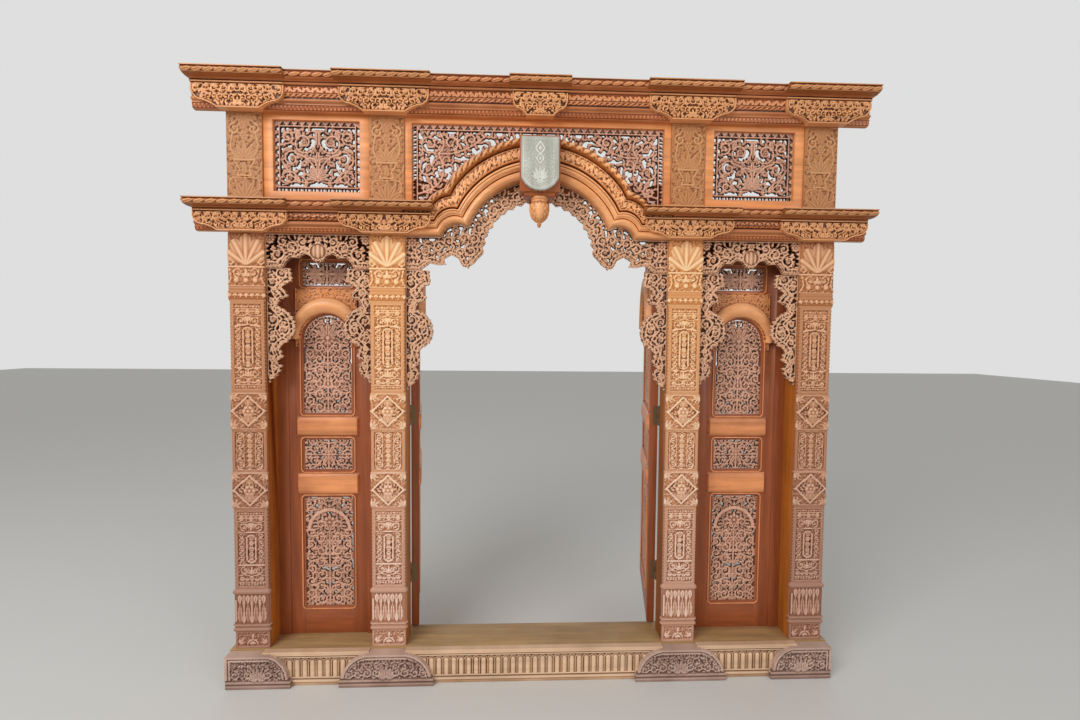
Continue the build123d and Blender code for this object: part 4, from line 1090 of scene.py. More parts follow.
    # Collar with small arcs, two plain fillets, and beads under leaves
    collar_low = shafts[1][1]
    torus(collar_low, collar_top, 6)
    board.wood[(z > collar_low + 2) & (z < collar_top - 2)] = 0.3
    for spot in steps(-72, 72, 24):
        fan(board, spot, collar_top - 2, -90, 100, 3, 20, 8, 0.9)
    torus(collar_top, 1746, 5)
    torus(1747, bead_low, 3)
    room = clear(bead_low, capital_low, 3)
    for spot in (-40, 0, 40):
        part, dx, dz = board.near(spot, 1789, 14)
        ball = np.sqrt(np.clip(1 - (np.hypot(dx, dz) / 14) ** 2, 0, 1))
        board.wood[part] = np.maximum(board.wood[part], ball)
        level[part] += 4 * ball
    for side in (-1, 1):
        curl(board, side * 34, 1822, 22, -90, hand=side, width=6, leaves=4)
        stem(board, [(side * 78, 1766), (side * 62, 1800), (side * 70, 1838)], 6)
    fan(board, 0, 1804, 90, 100, 3, 38, 16)
    fill(board, room, 15, 41, 0.66, until=0.35)
    board.wood[((z > bead_low) & (z < bead_low + 5)) | ((z > capital_low - 5) & (z < capital_low))] = 0.75
    # Capital: five fluted lobes that spread from the foot
    room = clear(capital_low, capital_top, 2)
    for number in range(5):
        angle = 90 + (number - 2) * 27
        length = (134, 122, 98)[abs(number - 2)]
        turn = math.radians(angle)
        part, dx, dz = board.near(0, 1856, 150)
        along = (dx * math.cos(turn) + dz * math.sin(turn)) / length
        beside = np.abs(dz * math.cos(turn) - dx * math.sin(turn))
        edge = 7 + 34 * np.clip(along, 0, 1) ** 1.3
        tip = np.clip((1 - along) / 0.3, 0, 1) ** 0.5
        dome = 1 - (beside / (edge * tip + 0.01)) ** 2
        flute = 0.1 * (np.cos(beside * 0.3) - 1)
        board.leave(part, np.where((along > 0) & (dome > 0), 0.62 + 0.38 * dome + flute, 0))
        level[part] += np.where((along > 0) & (dome > 0), 1.2 * np.clip(along, 0, 1) * dome, 0)
    for side in (-1, 1):
        curl(board, side * 62, 1868, 15, 90, hand=-side, width=5, leaves=3)
        leaf(board, side * 76, 1890, 90, 80, 16, 0.7)
    fill(board, room, 15, 43, 0.66, until=0.35)
    board.wood[(z > capital_low) & (z < capital_low + 5)] = 0.8
    # Pilaster over the cornice: a vase of leaves, with more leaves below it and hanging from the top
    room = clear(pilaster_low + 4, pilaster_top - 4, 0, post_half - 4)
    board.wood[room] = 0.2
    fan(board, 0, 2132, 90, 210, 9, 104, 30, 0.76)
    for side in (-1, 1):
        vine(board, (side * 10, 2300), (side * 78, 2320), (side * 46, 2420), 8, 0.74, 4)
        vine(board, (side * 8, 2226), (side * 84, 2236), (side * 56, 2176), 7, 0.72, 3)
        curl(board, side * 40, 2432, 24, 90, hand=-side, width=7, top=0.74)
        leaf(board, side * 70, 2250, 90 - side * 12, 76, 22, 0.72)
        stem(board, [(side * 44, 2300), (side * 20, 2262), (side * 30, 2236)], 7, 0.8)
    stem(board, [(-44, 2302), (44, 2302)], 8, 0.84)
    stem(board, [(-30, 2236), (30, 2236)], 7, 0.8)
    leaf(board, 0, 2238, 90, 58, 26, 0.76)
    fan(board, 0, 2306, 90, 170, 7, 82, 24, 0.8)
    flower(board, 0, 2404, 20, 6, 0.84)
    fan(board, 0, 2494, -90, 150, 7, 66, 22, 0.76)
    fill(board, room, 22, 47, 0.66, until=0.34, slender=0.75)
    level[:, [0, -1]] = 0
    return board, level


def carved_post(name, x, board, level):
    """One post: the carved skin, glued to the plain body behind it."""
    proud = level + post_relief * (board.wood - 0.6)
    proud[:, [0, -1]] = 0

    def place(across, up, wood):
        side, y = wrapped(across, proud)
        return x + side, y, up

    skin = solid_behind(bench_grid(name + "_wood", board, place), wrap)
    body = eased(name + "_body", name, 1.2, behind=wrap, tone=0.5)
    count = len(skin.data.polygons)
    return joined(skin, body), count


board, level = post_board()
for name in post_names:
    node = "post_" + name
    low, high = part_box(node)
    piece, count = carved_post(node, (low.x + high.x) / 2 / mm, board, level)
    fitted(piece, outer_post_teak if "outer" in name else post_teak, "facade", "carved_teak", node)
    piece.data.materials.append(reveal_teak)
    piece.data.polygons.foreach_set("material_index", np.arange(len(piece.data.polygons)) >= count)


# Plinths: teak blocks that stand on the floor in front of the sill, one before the foot of
# each post. They are stepped at the base, with a rounded moulding over the shoulders and a
# band of scrolls carved in the face, thick with dust.

def plinth_board(node):
    """The face of a plinth: scrolls on both sides of a fan of leaves, under its moulding."""
    board, room = shape_of(node, 3.6)
    far = far_from(room, ("bottom",))
    wide = board.lines[-1] - board.lines[0]
    middle = (board.lines[0] + board.lines[-1]) / 2
    board.wood[:] = 0.12
    rounded = (board.up > 42) & (far < 15)
    moulding = 0.55 + 0.4 * np.sqrt(np.clip(1 - ((far - 7) / 8) ** 2, 0, 1))
    board.wood[rounded] = moulding[rounded]
    board.wood[board.up < 40] = 0.62
    grooves = (np.abs(board.up - 38) < 2.5) | (np.abs(board.up - 20) < 2)
    board.wood[grooves] = 0.25
    fan(board, middle, 40, 90, 150, 7, 62, 19, 0.95)
    for number, dx in enumerate(steps(44, wide / 2 - 44, 38)[: int(wide / 90)]):
        for side in (-1, 1):
            curl(board, middle + side * dx, 66 - 3 * number, 20, 90, hand=side, width=5.5, leaves=4)
    fill(board, room & (board.up > 42) & (far > 16), 16, 51, 0.7)
    board.wood[(np.abs(far - 21) < 2.2) & (board.up > 42)] = 0.85
    board.wood[rounded] = moulding[rounded]
    return board, room


plinth_teak = teak("plinth_teak", (128, 94, 80), (64, 42, 34), (204, 172, 156), roughness=0.64)
for name in post_names:
    node = "plinth_" + name
    board, room = plinth_board(node)
    low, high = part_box(node)
    skin = bench_grid(node + "_wood", board, flat_place(low.y / mm, 7), along_z=False)
    piece = carved_solid(skin, room, high.y / mm)
    fitted(piece, plinth_teak, "facade", "carved_teak", node)


# Cornices: moulded lengths of teak, planed to a section, carved and nailed to the beams
# behind them. From the top they carry a rope of running leaves, a thin roll, a vine, a
# smooth roll and a hanging row of leaves.

def section_lengths(profile):
    """How far along a section each of its points is."""
    return np.concatenate([[0], np.cumsum([math.dist(a, c) for a, c in zip(profile, profile[1:])])])


def along_section(profile, depth):
    """Places for a board wrapped on a moulded section, its lines along the length."""
    lengths = section_lengths(profile)
    ys, zs = (np.array(values, float) for values in zip(*profile))

    def place(across, up, wood):
        near, past = np.clip(up - 1.5, 0, lengths[-1]), np.clip(up + 1.5, 0, lengths[-1])
        ty = np.interp(past, lengths, ys) - np.interp(near, lengths, ys)
        tz = np.interp(past, lengths, zs) - np.interp(near, lengths, zs)
        size = np.hypot(ty, tz) + 1e-6
        proud = depth * (wood - 1)
        return (across, np.interp(up, lengths, ys) - proud * tz / size,
                np.interp(up, lengths, zs) + proud * ty / size)
    return place


def running_leaves(board, low, high, pitch, lean=24):
    """A rope of leaves that follow each other along a band."""
    middle, tall = (low + high) / 2, high - low
    inside = (board.up > low) & (board.up < high)
    board.wood[inside] = 0.3
    for x in steps(board.lines[0], board.lines[-1] - pitch, pitch):
        leaf(board, x, middle - 0.32 * tall, lean, 1.25 * pitch, 0.62 * tall, 1.0)
        leaf(board, x + 0.5 * pitch, middle + 0.36 * tall, lean - 60, 0.6 * pitch, 0.4 * tall, 0.8)


def vine_band(board, low, high, pitch):
    """A waving vine with a leaf in each bend."""
    middle, tall = (low + high) / 2, high - low
    board.wood[(board.up > low) & (board.up < high)] = 0.2
    wave = [(x, middle + 0.3 * tall * math.sin(2 * math.pi * x / pitch))
            for x in steps(board.lines[0], board.lines[-1], pitch / 6)]
    stem(board, wave, 0.2 * tall, 0.85)
    for number, x in enumerate(np.arange(board.lines[0] + pitch / 4, board.lines[-1], pitch / 2)):
        way = 1 if number % 2 else -1
        leaf(board, x - pitch * 0.18, middle + way * 0.3 * tall, -way * 52, 0.75 * tall, 0.4 * tall, 0.95)
        leaf(board, x, middle - way * 0.34 * tall, way * 100, 0.5 * tall, 0.3 * tall, 0.85)


def rolls(profile, low, high, proud, count=7):
    """Replace a flat stretch of a section by a round roll."""
    (y0, z0), (y1, z1) = low, high
    for number in range(count + 1):
        share = number / count
        profile.append((y0 + (y1 - y0) * share - proud * math.sin(math.pi * share), z0 + (z1 - z0) * share))


cap_tall = 34


def cornice_section(low, high):
    """The points of a cornice's section, back and up, from its foot to its top edge."""
    cap_low = high - cap_tall
    tall = cap_low - low
    ogee, frieze = low + 0.26 * tall, low + 0.62 * tall
    profile = [(-14, low), (-27, low + 4), (-32, ogee - 2), (-26, ogee)]
    rolls(profile, (-27, ogee + 1), (-31, ogee + 22), 10)
    profile += [(-31, ogee + 24), (-36, frieze - 3), (-42, frieze), (-42, cap_low - 12)]
    rolls(profile, (-40, cap_low - 10), (-44, cap_low - 1), 5, 5)
    profile += [(-58, cap_low + 2), (-76, cap_low + 8), (-82, cap_low + 13), (-84, cap_low + 20),
                (-82, cap_low + 27), (-77, high - 4), (-84, high - 4), (-84, high)]
    return profile


def cornice(name, start, end, low, high):
    """A carved length of cornice, its bands laid between the corners of its section."""
    profile = cornice_section(low, high)
    lengths = section_lengths(profile)
    board = Board(steps(start, end, 4.2), steps(0, lengths[-1], 3.0))
    board.wood[:] = 0.72
    # The bands meet at these points of the section, counted from its foot
    leaf_top, roll_top, vine_low, vine_top, thin_top, rope_low = lengths[[2, 11, 12, 15, 21, 23]]
    board.wood[(board.up > 8) & (board.up < leaf_top - 4)] = 0.3
    for x in steps(start + 8, end - 8, 17):
        leaf(board, x, leaf_top - 2, -72, leaf_top - 8, 12, 0.62)
    for line in (leaf_top + 3, roll_top + 1, vine_top + 1, thin_top + 1):
        board.wood[np.abs(board.up - line) < 2] = 0.1
    running_leaves(board, vine_low + 2, vine_low + 13, 24)
    vine_band(board, vine_low + 16, vine_top - 2, 38)
    running_leaves(board, rope_low - 4, lengths[-1] - 9, 46, 15)
    return solid_behind(bench_grid(name, board, along_section(profile, 5), along_z=False), 0)


cornice_teak = teak("cornice_teak", (158, 84, 42), (52, 18, 6), (224, 152, 102), roughness=0.3, dusty=0.15)
cornice_half, doorway_half, door_top = 1460, 586, 2648
piece = cornice("top_cornice_wood", -cornice_half, cornice_half, pilaster_top, door_top)
fitted(piece, cornice_teak, "facade", "moulded_teak", "top_cornice")
for side, start, end in (("left", -cornice_half, -doorway_half), ("right", doorway_half, cornice_half)):
    node = "mid_cornice_" + side
    front = cornice(node + "_front", start, end, capital_top, pilaster_low)
    piece = joined(front, eased(node + "_beam", node, 0, along_z=False, behind=0.5))
    fitted(piece, cornice_teak, "facade", "moulded_teak", node)


# Consoles: brackets in front of the cornices, cut from one block of teak each and pegged to
# them: a rope cap over a hollow-cheeked face with a raised border round open foliage.

def console_board(node, cap_low):
    """The face of a console: scrolls beside a fan of leaves, inside a raised border."""
    board, room = shape_of(node, 3.2)
    room &= board.up < cap_low
    far = far_from(room, ("top",))
    middle = (board.lines[0] + board.lines[-1]) / 2
    low = board.rows[0]
    z = cap_low - 34
    for number, dx in enumerate(steps(20, board.lines[-1] - middle - 36, 38)):
        vine(board, (middle - dx + 20, z + 20), (middle - dx - 8, z + 16), (middle - dx - 16, z - 14), 6,
             leaves=2, top=0.9)
        way = 1 if number % 2 else -1
        curl(board, middle - dx, z, 16, 90, hand=-way, width=5.5, leaves=4)
        curl(board, middle - 0.66 * dx - 8, z - 36, 14, -90, hand=way, width=5.5, leaves=4)
    board.mirror()
    fan(board, middle, low + 12, 90, 140, 5, 40, 14)
    fill(board, room & (far > 8), 19, 61, 0.8, apart=0.86, slender=0.5)
    board.mirror()
    border = 0.55 + 0.45 * np.clip(1 - ((far - 5) / 5.5) ** 2, 0, 1)
    board.wood = np.where(far < 12.5, np.where(far < 10, border, 0.1), board.wood)
    # Under the cap: a light bead in a dark strip, the strip a painted shadow cast by the cap
    under_cap = cap_low - board.up
    bead_and_painted_shadow = np.where(np.abs(under_cap - 9) < 4, 0.95, 0.12)
    board.wood = np.where(room & (under_cap < 15), bead_and_painted_shadow, board.wood)
    return board, room


def console_cap(name, start, end, low, high, back):
    """The rope cap of a console, a cove under a band of running leaves."""
    profile = [(-66, low), (-84, low + 3), (-96, low + 9), (-103, low + 14), (-106, low + 20),
               (-103, low + 26), (-97, high - 5), (-106, high - 5), (-106, high)]
    lengths = section_lengths(profile)
    board = Board(steps(start, end, 3.8), steps(0, lengths[-1], 2.8))
    board.wood[:] = 0.75
    # The underside of the cap is coloured dark as a painted shadow
    board.wood[board.up < 27] = 0.16
    running_leaves(board, 28, lengths[-1] - 9, 46, 15)
    return solid_behind(bench_grid(name, board, along_section(profile, 5), along_z=False), back)


console_teak = teak("console_teak", (166, 98, 52), (56, 22, 6), (232, 168, 114), roughness=0.36, dusty=0.1)
console_face, console_carved, console_back = -52, 9, -8
for node in sorted(nodes):
    if "_bracket_" not in node:
        continue
    low, high = (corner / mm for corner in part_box(node))
    cap_low = high.z - cap_tall
    board, room = console_board(node, cap_low)
    face = bench_grid(node + "_face", board, flat_place(console_face, console_carved), along_z=False)
    face = carved_solid(face, room, console_back)
    cap = console_cap(node + "_cap", low.x, high.x, cap_low, high.z, console_back)
    piece = joined(face, cap)
    fitted(piece, console_teak, "facade", "carved_teak", node)


# Arch: one moulded ring over the doorway, sawn from thick teak boards and pegged to the
# beam behind it. Its bands follow each other: a rope of leaves outside, a carved vine, a
# roll with a fine line, and a smooth hollow inside.

def arc_through(a, b, c, count):
    """Points on the circle through three points, from the first to the last."""
    (ax, az), (bx, bz), (cx, cz) = a, b, c
    d = 2 * (ax * (bz - cz) + bx * (cz - az) + cx * (az - bz))
    x = ((ax**2 + az**2) * (bz - cz) + (bx**2 + bz**2) * (cz - az) + (cx**2 + cz**2) * (az - bz)) / d
    z = ((ax**2 + az**2) * (cx - bx) + (bx**2 + bz**2) * (ax - cx) + (cx**2 + cz**2) * (bx - ax)) / d
    radius = math.hypot(ax - x, az - z)
    start, bend, end = (math.atan2(pz - z, px - x) for px, pz in (a, b, c))
    sweep = (end - start) % (2 * math.pi)
    if (bend - start) % (2 * math.pi) > sweep:
        sweep -= 2 * math.pi
    turns = [start + sweep * number / count for number in range(count + 1)]
    return [(x + radius * math.cos(turn), z + radius * math.sin(turn)) for turn in turns]


def arch_edge(wall, foot, swell, cusp, rise, haunch, apex):
    """One edge of the arch, from the left wall over the top to the right one."""
    half = [(wall[0] + (foot[0] - wall[0]) * number / 26, wall[1]) for number in range(27)]
    half += arc_through(foot, swell, cusp, 34)[1:] + [rise] + arc_through(rise, haunch, apex, 96)[1:]
    return [(-x, z) for x, z in half] + half[-2::-1]


arch_teak = teak("arch_teak", (200, 118, 58), (68, 26, 8), (252, 188, 132), roughness=0.3, dusty=0.15)
lower_edge = np.array(arch_edge((doorway_half, capital_top), (430, capital_top), (352, 2048), (312, 2035),
                                (310, 2040), (231, 2152), (0, 2243)))
upper_edge = np.array(arch_edge((doorway_half, pilaster_low), (478, pilaster_low), (446, 2160), (398, 2185),
                                (371, 2236), (244, 2343), (0, 2410)))
run = section_lengths([tuple(p) for p in (lower_edge + upper_edge) / 2])
arch_width, arch_face, arch_back = 120.0, -8, 30
vine_low, vine_high, rope_low, rope_high = 64, 93, 102, 118
# The ring's section: how far out from the lower edge, and how far it stands forward there
arch_rise = [(0, 6), (2, 14), (12, 22), (22, 17), (27, 11), (30, 9), (32, 20), (36, 27), (40, 29), (44, 28),
             (45.5, 25), (47, 28), (52, 24), (56, 12), (58, 10), (60, 26), (64, 33), (94, 33), (97, 26),
             (99, 12), (101, 30), (103, 44), (108, 54), (114, 58), (117, 56), (119, 50), (120, 46)]


def arch_board():
    """The arch's face laid straight: its two carved bands, and the lines between the bands."""
    board = Board(steps(0, run[-1], 4.0), steps(0, arch_width, 2.8))
    board.wood[:] = 0.78
    vine_band(board, vine_low, vine_high, 46)
    fill(board, (board.up > vine_low) & (board.up < vine_high), 11, 71)
    running_leaves(board, rope_low, rope_high, 34)
    # Dark lines in the creases between the bands, and a fine line in the roll, sunk only about a millimetre:
    # painted shade
    for line in (28, 57.5, 98.5):
        board.wood[np.abs(board.up - line) < 2] = 0.12
    board.wood[np.abs(board.up - 45.5) < 1.6] = 0.35
    return board


def arch_place(across, up, wood):
    """Bend the straight board round the arch, between its two edges."""
    share = up / arch_width
    spots = [np.interp(across, run, edge[:, axis]) for edge in (lower_edge, upper_edge) for axis in (0, 1)]
    rise = np.interp(up, *zip(*arch_rise))
    carved = np.where((up > vine_low - 2) & (up < vine_high + 2) | (up > rope_low - 1), 5.0, 1.0)
    return (spots[0] + (spots[2] - spots[0]) * share, arch_face - rise - carved * (wood - 1),
            spots[1] + (spots[3] - spots[1]) * share)


piece = solid_behind(bench_grid("arch_wood", arch_board(), arch_place, along_z=False), arch_back)
fitted(piece, arch_teak, "facade", "moulded_teak", "arch_frame")


# Keystone: a teak block pegged to the crown of the arch. The plaque on its face is carved with
# lozenges over a fan of leaves and painted the grey-green of stone. The bud that hangs below
# is turned and then carved.

hood_teak = teak("hood_teak", (206, 130, 74), (104, 50, 26), (246, 178, 122), roughness=0.36, dusty=0.2)
piece = eased("keystone_wood", "keystone_block", 2.0)
fitted(piece, cornice_teak, "facade", "carved_teak", "keystone_block")

plaque_pitch = 2.6
board, room = shape_of("keystone_plaque", plaque_pitch)
far = distance_in(room, plaque_pitch)
middle, centre = (board.lines[0] + board.lines[-1]) / 2, (board.rows[0] + board.rows[-1]) / 2
board.wood = np.where(far < 7, 0.5 - 0.3 * (1 - far / 7) ** 2, 0.5)
board.wood[np.abs(far - 13) < 2] = 0.62
for dz, half in ((62, 22), (20, 18)):
    part, dx, dz = board.near(middle, centre + dz, 40)
    share = np.abs(dx) / half + np.abs(dz) / (1.4 * half)
    eye = np.where(share < 0.35, 0.8, board.wood[part])
    board.wood[part] = np.where((share < 1) & (share > 0.72), 0.85, eye)
fan(board, middle, centre - 64, 90, 140, 7, 56, 15, 0.9)
fan(board, middle, centre - 66, -90, 120, 5, 26, 9, 0.85)
fill(board, room & (far > 17), 15, 5, 0.64, until=0.56)
low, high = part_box("keystone_plaque")
piece = carved_solid(bench_grid("plaque_panel", board, flat_place(low.y / mm, 6)), room, high.y / mm)
plaque_paint = teak("plaque_paint", (172, 171, 160), (92, 92, 80), (226, 226, 218), roughness=0.75,
                    figure=0.6)
fitted(piece, plaque_paint, "facade", "plaque_wood", "keystone_plaque")


def pendant(node):
    """The hanging bud: rows of scales round it, and long petals down its sides."""
    low, high = (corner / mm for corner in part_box(node))
    tall = high.z - low.z
    radii = [(0, 5), (0.05, 11), (0.11, 12), (0.15, 9), (0.22, 22), (0.3, 32), (0.42, 39), (0.58, 43),
             (0.8, 42), (0.86, 36), (0.9, 34), (0.94, 38), (1, 38)]
    board = Board(steps(0, 360, 4.0), steps(0, tall, 2.6))
    board.wood[:] = 0.25
    for number, z in enumerate(steps(tall * 0.2, tall * 0.68, 13)):
        for turn in range(-1, 12):
            part, dx, dz = board.near((turn + 0.5 * (number % 2)) * 36, z, 26)
            far = np.hypot(dx / 18, dz / 12)
            scale = 0.4 + 0.5 * np.sqrt(np.clip(1 - far ** 2, 0, 1)) + 0.2 * (far < 0.3)
            board.leave(part, np.where(far < 1, scale, 0))
    for turn in (0, 90, 180, 270, 360):
        part, dx, dz = board.near(turn, tall * 0.48, tall * 0.34)
        edge = 26 * np.clip(1 - (dz / (tall * 0.34)) ** 2, 0.001, 1)
        petal = 1 - (dx / edge) ** 2
        board.leave(part, np.where(petal > 0, 0.8 + 0.5 * petal, 0))
    board.wood = np.where(board.up > tall * 0.84, 0.7, board.wood)
    board.wood[:, -1] = board.wood[:, 0]
    x0, y0 = (low.x + high.x) / 2, (low.y + high.y) / 2

    def place(across, up, wood):
        radius = np.interp(up / tall, *zip(*radii)) + 4 * (wood - 1)
        turn = np.radians(across)
        return x0 - radius * np.sin(turn), y0 + radius * np.cos(turn), low.z + up

    piece = bench_grid("pendant_bud", board, place)
    bpy.ops.object.mode_set(mode="EDIT")
    bpy.ops.mesh.select_all(action="SELECT")
    bpy.ops.mesh.remove_doubles(threshold=touching)
    bpy.ops.mesh.fill_holes(sides=0)
    bpy.ops.mesh.select_all(action="SELECT")
    bpy.ops.mesh.normals_make_consistent(inside=False)
    bpy.ops.object.mode_set(mode="OBJECT")
    worked(piece)
    return piece


fitted(pendant("lotus_pendant"), hood_teak, "facade", "carved_teak", "lotus_pendant")


# Leaves: a mortised teak frame with two raised rounded rails, a golden half-round hood over
# the upper opening, and a pierced board let into the four openings. Two leaves are fixed in
# the side bays. Two hang on the doorway posts and stand open.

panels_low, lower_panel_top, middle_panel, upper_panel_low = 284, 801, 1000, 1193


def scroll_columns(board, x, wide, low, high, pitch):
    """A middle stem with pairs of scrolls on both sides, two columns to each side."""
    stem(board, [(x, low - 6), (x, high + 6)], 7)
    for number, z in enumerate(steps(low + pitch / 2, high - pitch / 2, pitch)):
        way = 1 if number % 2 else -1
        curl(board, x - 38 * wide, z, 0.42 * pitch, 60, hand=way, width=7.5)
        curl(board, x - 84 * wide, z + pitch / 2, 0.36 * pitch, -60, hand=-way, width=7.5)
        vine(board, (x, z - pitch / 2), (x - 10 * wide, z), (x - 38 * wide, z + 0.42 * pitch * way), 7,
             leaves=1)
        vine(board, (x - 50 * wide, z), (x - 62 * wide, z + 0.4 * pitch), (x - 84 * wide, z + 0.1 * pitch), 7,
             leaves=1)


def leaf_carving(x, opening, spring, node_shape):
    """The carving of a leaf's four openings, on one board, from the foot to the transom."""
    board, room = node_shape
    far = distance_in(room, cell)
    board.leave(np.s_[:, :], np.where(room & (far < 5), 0.75, 0))
    upper = (board.up > upper_panel_low) & (board.up < spring + opening)
    wide = opening / 109
    scale = min(wide, 1.45)
    # Lower panel: a round band near its top over a flower, and scrolls down both sides
    band_z = lower_panel_top - opening - 46
    scroll_columns(board, x, wide, panels_low, band_z - 12, 58 * scale)
    for share, radius in ((0.36, 27), (0.78, 24)):
        flower(board, x, panels_low + share * (band_z - panels_low), radius * scale, 8)
    for dx, dz, radius, hand in ((-38, 22, 22, 1), (-86, opening - 2, 19, -1), (-36, opening + 24, 15, 1)):
        curl(board, x + dx * wide, band_z + dz, radius * scale, -60, hand=hand, width=5.5)
    vine(board, (x, band_z - 12), (x - 8, band_z + 20), (x - 40 * wide, band_z + 44 * scale), 6)
    vine(board, (x, lower_panel_top + 5), (x - 40 * wide, lower_panel_top - 1),
         (x - 74 * wide, lower_panel_top - 21), 6, leaves=4)
    part, dx, dz = board.near(x, band_z, opening)
    reach = np.hypot(dx, dz)
    inside = (reach < opening - 8) & (dz > 0)
    board.wood[part] = np.where(inside & (reach > opening - 26), 0.98, board.wood[part])
    board.wood[part] = np.where(inside & (np.abs(reach - opening + 26) < 2), 0.5, board.wood[part])
    flower(board, x, band_z + 34 * scale, 30 * scale, 8)
    stem(board, [(x - opening + 2, band_z - 2), (x - opening + 30, band_z - 2)], 9, 1.0)
    # Middle panel: a flower between scrolls
    for dx, dz, hand in ((-62, 28, 1), (-62, -28, -1), (-90, 0, 1)):
        curl(board, x + dx * wide, middle_panel + dz, 25, 0, hand=hand, width=6)
    stem(board, [(x - opening - 4, middle_panel), (x + opening + 4, middle_panel)], 6)
    stem(board, [(x, middle_panel - 75), (x, middle_panel + 75)], 7)
    for angle in (60, 120, 240, 300):
        leaf(board, x, middle_panel, angle, 62, 20)
    flower(board, x, middle_panel, 26, 8)
    # Upper panel: small teeth round the top, a large flower over pairs of scrolls
    tooth_ring = np.where(upper & room, far, 99)
    scroll_columns(board, x, wide, upper_panel_low, spring - 8, 58 * scale)
    flower(board, x, upper_panel_low + 0.4 * (spring - upper_panel_low), 26 * scale, 8)
    for turn in (60, 90, 120, 150, 30):
        leaf(board, x, spring + 6, turn, opening - 22, 20 * scale)
    curl(board, x - 62 * wide, spring + 22, 22 * scale, 200, hand=-1, width=6)
    flower(board, x, spring + 6, 38 * scale, 10)
    board.leave(np.s_[:, :], np.where(room & (board.up > spring - 20) & upper & (far < 16), 0.7, 0))
    for px, pz, out in row_along(board, tooth_ring, 9.5, 15, board.up > spring - 20):
        hole(board, px, pz, out, 9, 10)
    # Transom: two flowers of eight pointed petals, with leaves between
    transom = board.rows[-1] - 52
    for turn in range(8):
        leaf(board, x - 54 * wide, transom, 45 * turn, 50, 19, 0.95)
    flower(board, x - 54 * wide, transom, 18, 8)
    for angle in (40, 140, 220, 320):
        leaf(board, x, transom, angle, 44, 17, 0.8)
    stem(board, [(x, transom - 56), (x, transom + 56)], 7)
    stem(board, [(x - opening - 4, transom), (x + opening + 4, transom)], 5)
    flower(board, x, transom, 15, 6)
    board.wood[~room] = 0
    board.mirror()
    fill(board, room, 21, spring, apart=0.8, slender=0.5)
    board.mirror()
    board.wood[room & (far < 4)] = 0.75
    return board, room, room & (far < 4)


def opening_moulding(name, board, room, front):
    """The thin moulding planted round the openings of a leaf."""
    margin, spare = 10, 14
    count = np.arange(1, margin + 1)
    wider = Board(*(np.concatenate([spots[0] - (spots[1] - spots[0]) * count[::-1], spots,
                                    spots[-1] + (spots[1] - spots[0]) * count])
                    for spots in (board.lines, board.rows)))
    away = distance_in(np.pad(~room, margin + spare, constant_values=True), cell)[spare:-spare, spare:-spare]
    ring = (away > 7.5) & (away < 17)
    wider.wood = np.where(ring, 0.4 + 0.3 * np.sqrt(np.clip(1 - ((away - 12) / 5) ** 2, 0, 1)), 0)
    return pierced_board(name, wider, flat_place(front - 6.5, 7), front + 1, ring, ring, shade_web_steps=0)


def rail_block(name, x, half, low, high, front):
    """A rail's raised face: half round from its lower edge to its upper one."""
    board = Board(steps(x - half, x + half, 8), steps(low, high, 3.0))
    share = np.clip((board.up - low) / (high - low) * 2 - 1, -1, 1)
    ends = np.clip((half - np.abs(board.across - x)) / 6, 0, 1)
    rise = 12 * np.clip(1 - share ** 4, 0, 1) ** 0.5 * ends ** 0.5
    # The colour pales towards the crest of the round: a painted highlight along the rail
    board.wood = 0.8 + 0.2 * np.clip(1 - share ** 2, 0, 1)
    block = bench_grid(name, board, lambda across, up, wood: (across, front - rise, up), along_z=False)
    return solid_behind(block, front + 2)


hood_pitch, hood_thick = 3.0, 12


def hood_board(node, x, opening, spring, turned):
    """The board over a leaf's upper opening: leaves round a half-round hood that stands proud."""
    board, room = shape_of(node, hood_pitch, turned=turned)
    inner, outer = opening + 9, opening + 50
    low_far = np.hypot(board.across - x, board.up - spring) - inner
    high_far = outer - np.hypot(board.across - x, board.up - spring - 30)
    share = np.clip(low_far / (low_far + high_far + 1e-6), 0, 1)
    ring = (low_far > 0) & (high_far > 0) & (board.up > spring)
    level = np.where(ring, 22 * np.sin(math.pi * share) ** 0.55, 0)
    board.wood[:] = 0.05
    top = board.rows[-1]
    for side in (-1, 1):
        fan(board, x + side * (opening + 16), top - 18, -90 - side * 18, 100, 5, 60, 16)
        fan(board, x + side * opening * 0.4, top - 4, -90 - side * 40, 60, 3, 34, 12)
    fan(board, x, top - 4, -90, 100, 5, 20, 9)
    fill(board, room & ~ring, 15, 81)
    board.wood *= 0.55
    board.wood[distance_in(room, hood_pitch) < 5] = 0.85
    board.wood[ring] = 0.8
    board.wood[(np.abs(low_far) < 2.0) | ((np.abs(high_far) < 2.5) & (board.up > spring))] = 0.3
    return board, room, level


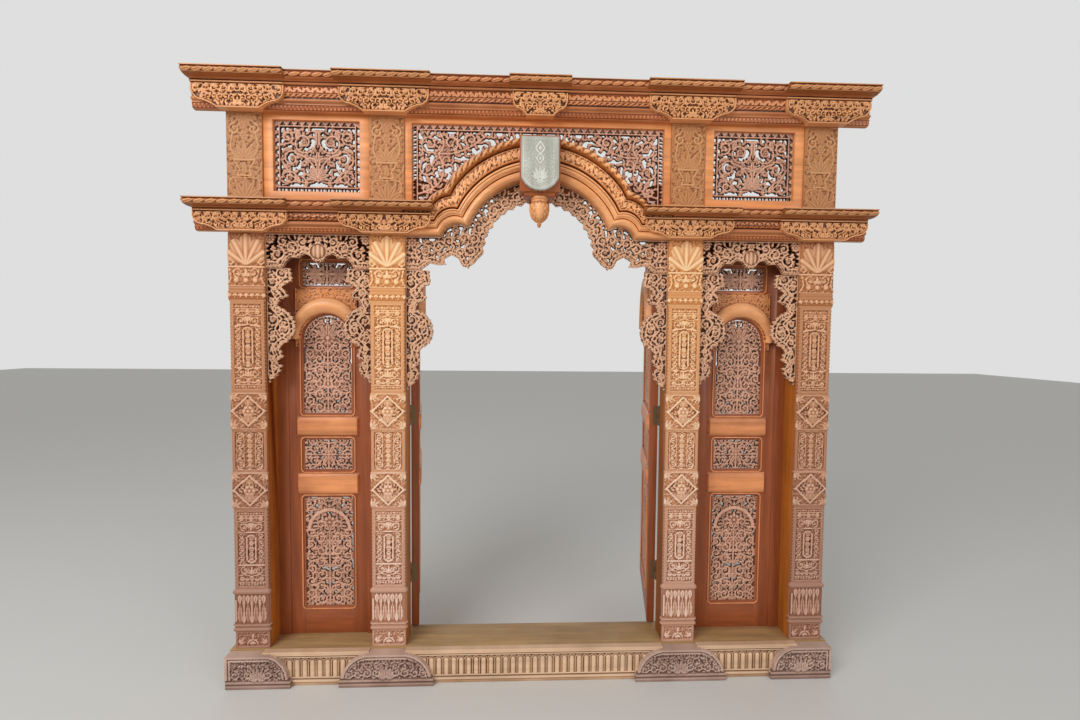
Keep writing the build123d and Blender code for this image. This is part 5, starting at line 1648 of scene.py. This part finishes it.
leaf_teak = teak("leaf_teak", (154, 82, 46), (84, 32, 10), (232, 152, 98), roughness=0.36, figure=0.8,
                 dusty=0.2)
pin_across, pin_deep, open_turn = 596.25, 157.5, 100
leaf_rails = (("lower", 815, 915), ("upper", 1089, 1179))
for side, sign in (("left", -1), ("right", 1)):
    for kind in ("bay", "door"):
        name = kind + "_leaf_" + side
        hangs = kind == "door"
        if hangs:
            x, half, stile, spring, front, body = sign * 298, 296.5, 95, 1600, 116, side + "_leaf"
            pin = Vector((sign * pin_across * mm, pin_deep * mm, 0))
            turned = (Matrix.Translation(pin) @ Matrix.Rotation(math.radians(-sign * open_turn), 4, "Z")
                      @ Matrix.Translation(-pin))
        else:
            x, half, stile, spring, front, body = sign * 962, 176, 67, 1535, 115, "facade"
            turned = Matrix.Identity(4)
        opening = half - stile
        piece = eased(name + "_frame_wood", name + "_frame", 1.5, rails=(x - opening, x + opening),
                      turned=turned, raised=(x - opening - 40, x + opening + 40, front - 1))
        for place, low, high in leaf_rails:
            block = rail_block(name + "_rail_" + place, x, opening + 33, low, high, front)
            block.data.transform(turned)
            fitted(block, leaf_teak, body, "leaf_teak", name + "_frame")
        fitted(piece, leaf_teak, body, "leaf_teak", name + "_frame")
        board, room, anchor = leaf_carving(x, opening, spring, shape_of(name + "_openwork", turned=turned))
        moulding = opening_moulding(name + "_moulding", board, room, front)
        moulding.data.transform(turned)
        fitted(moulding, leaf_teak, body, "leaf_teak", name + "_frame")
        piece = pierced_board(name + "_carving", board, flat_place(front + 3, fret_carved), front + 17, room,
                              anchor)
        piece.data.transform(turned)
        fitted(piece, pierced_teak, body, "pierced_teak", name + "_openwork")
        board, room, level = hood_board(name + "_hood", x, opening, spring, turned)
        hood = bench_grid(name + "_hood_wood", board, lambda across, up, wood: (
            across, front - hood_thick - level - 5 * (wood - 0.8), up), along_z=False)
        piece = carved_solid(hood, room, front)
        piece.data.transform(turned)
        fitted(piece, hood_teak, body, "leaf_teak", name + "_hood")


# Butt hinges: three to a swinging leaf, their steel plates let into the edge of the leaf and
# into the post, and their knuckles folded round pressed-in pins, gone brown with handling.

hinge_steel, tree, shader = new_material("hinge_steel", 0.38, (124, 98, 72))
shader.inputs["Metallic"].default_value = 1.0
place = step(tree, "TexCoord")
brushed = step(tree, "VectorMath", [(0, place.outputs["Object"]), (1, (1.0, 1.0, 0.03))],
               operation="MULTIPLY")
scratches = step(tree, "TexNoise", [("Vector", brushed.outputs[0]), ("Scale", 900.0), ("Detail", 3.0)])
shine = step(tree, "MapRange", [("Value", scratches.outputs["Fac"]), ("To Min", 0.28), ("To Max", 0.5)])
tree.links.new(shine.outputs[0], shader.inputs["Roughness"])
for side in ("left", "right"):
    for node in ("door_leaf_" + side + "_hinge_plates", "door_post_" + side + "_hinge_plates",
                 "door_hinge_" + side + "_pins"):
        nodes[node].data.materials.clear()
        nodes[node].data.materials.append(hinge_steel)
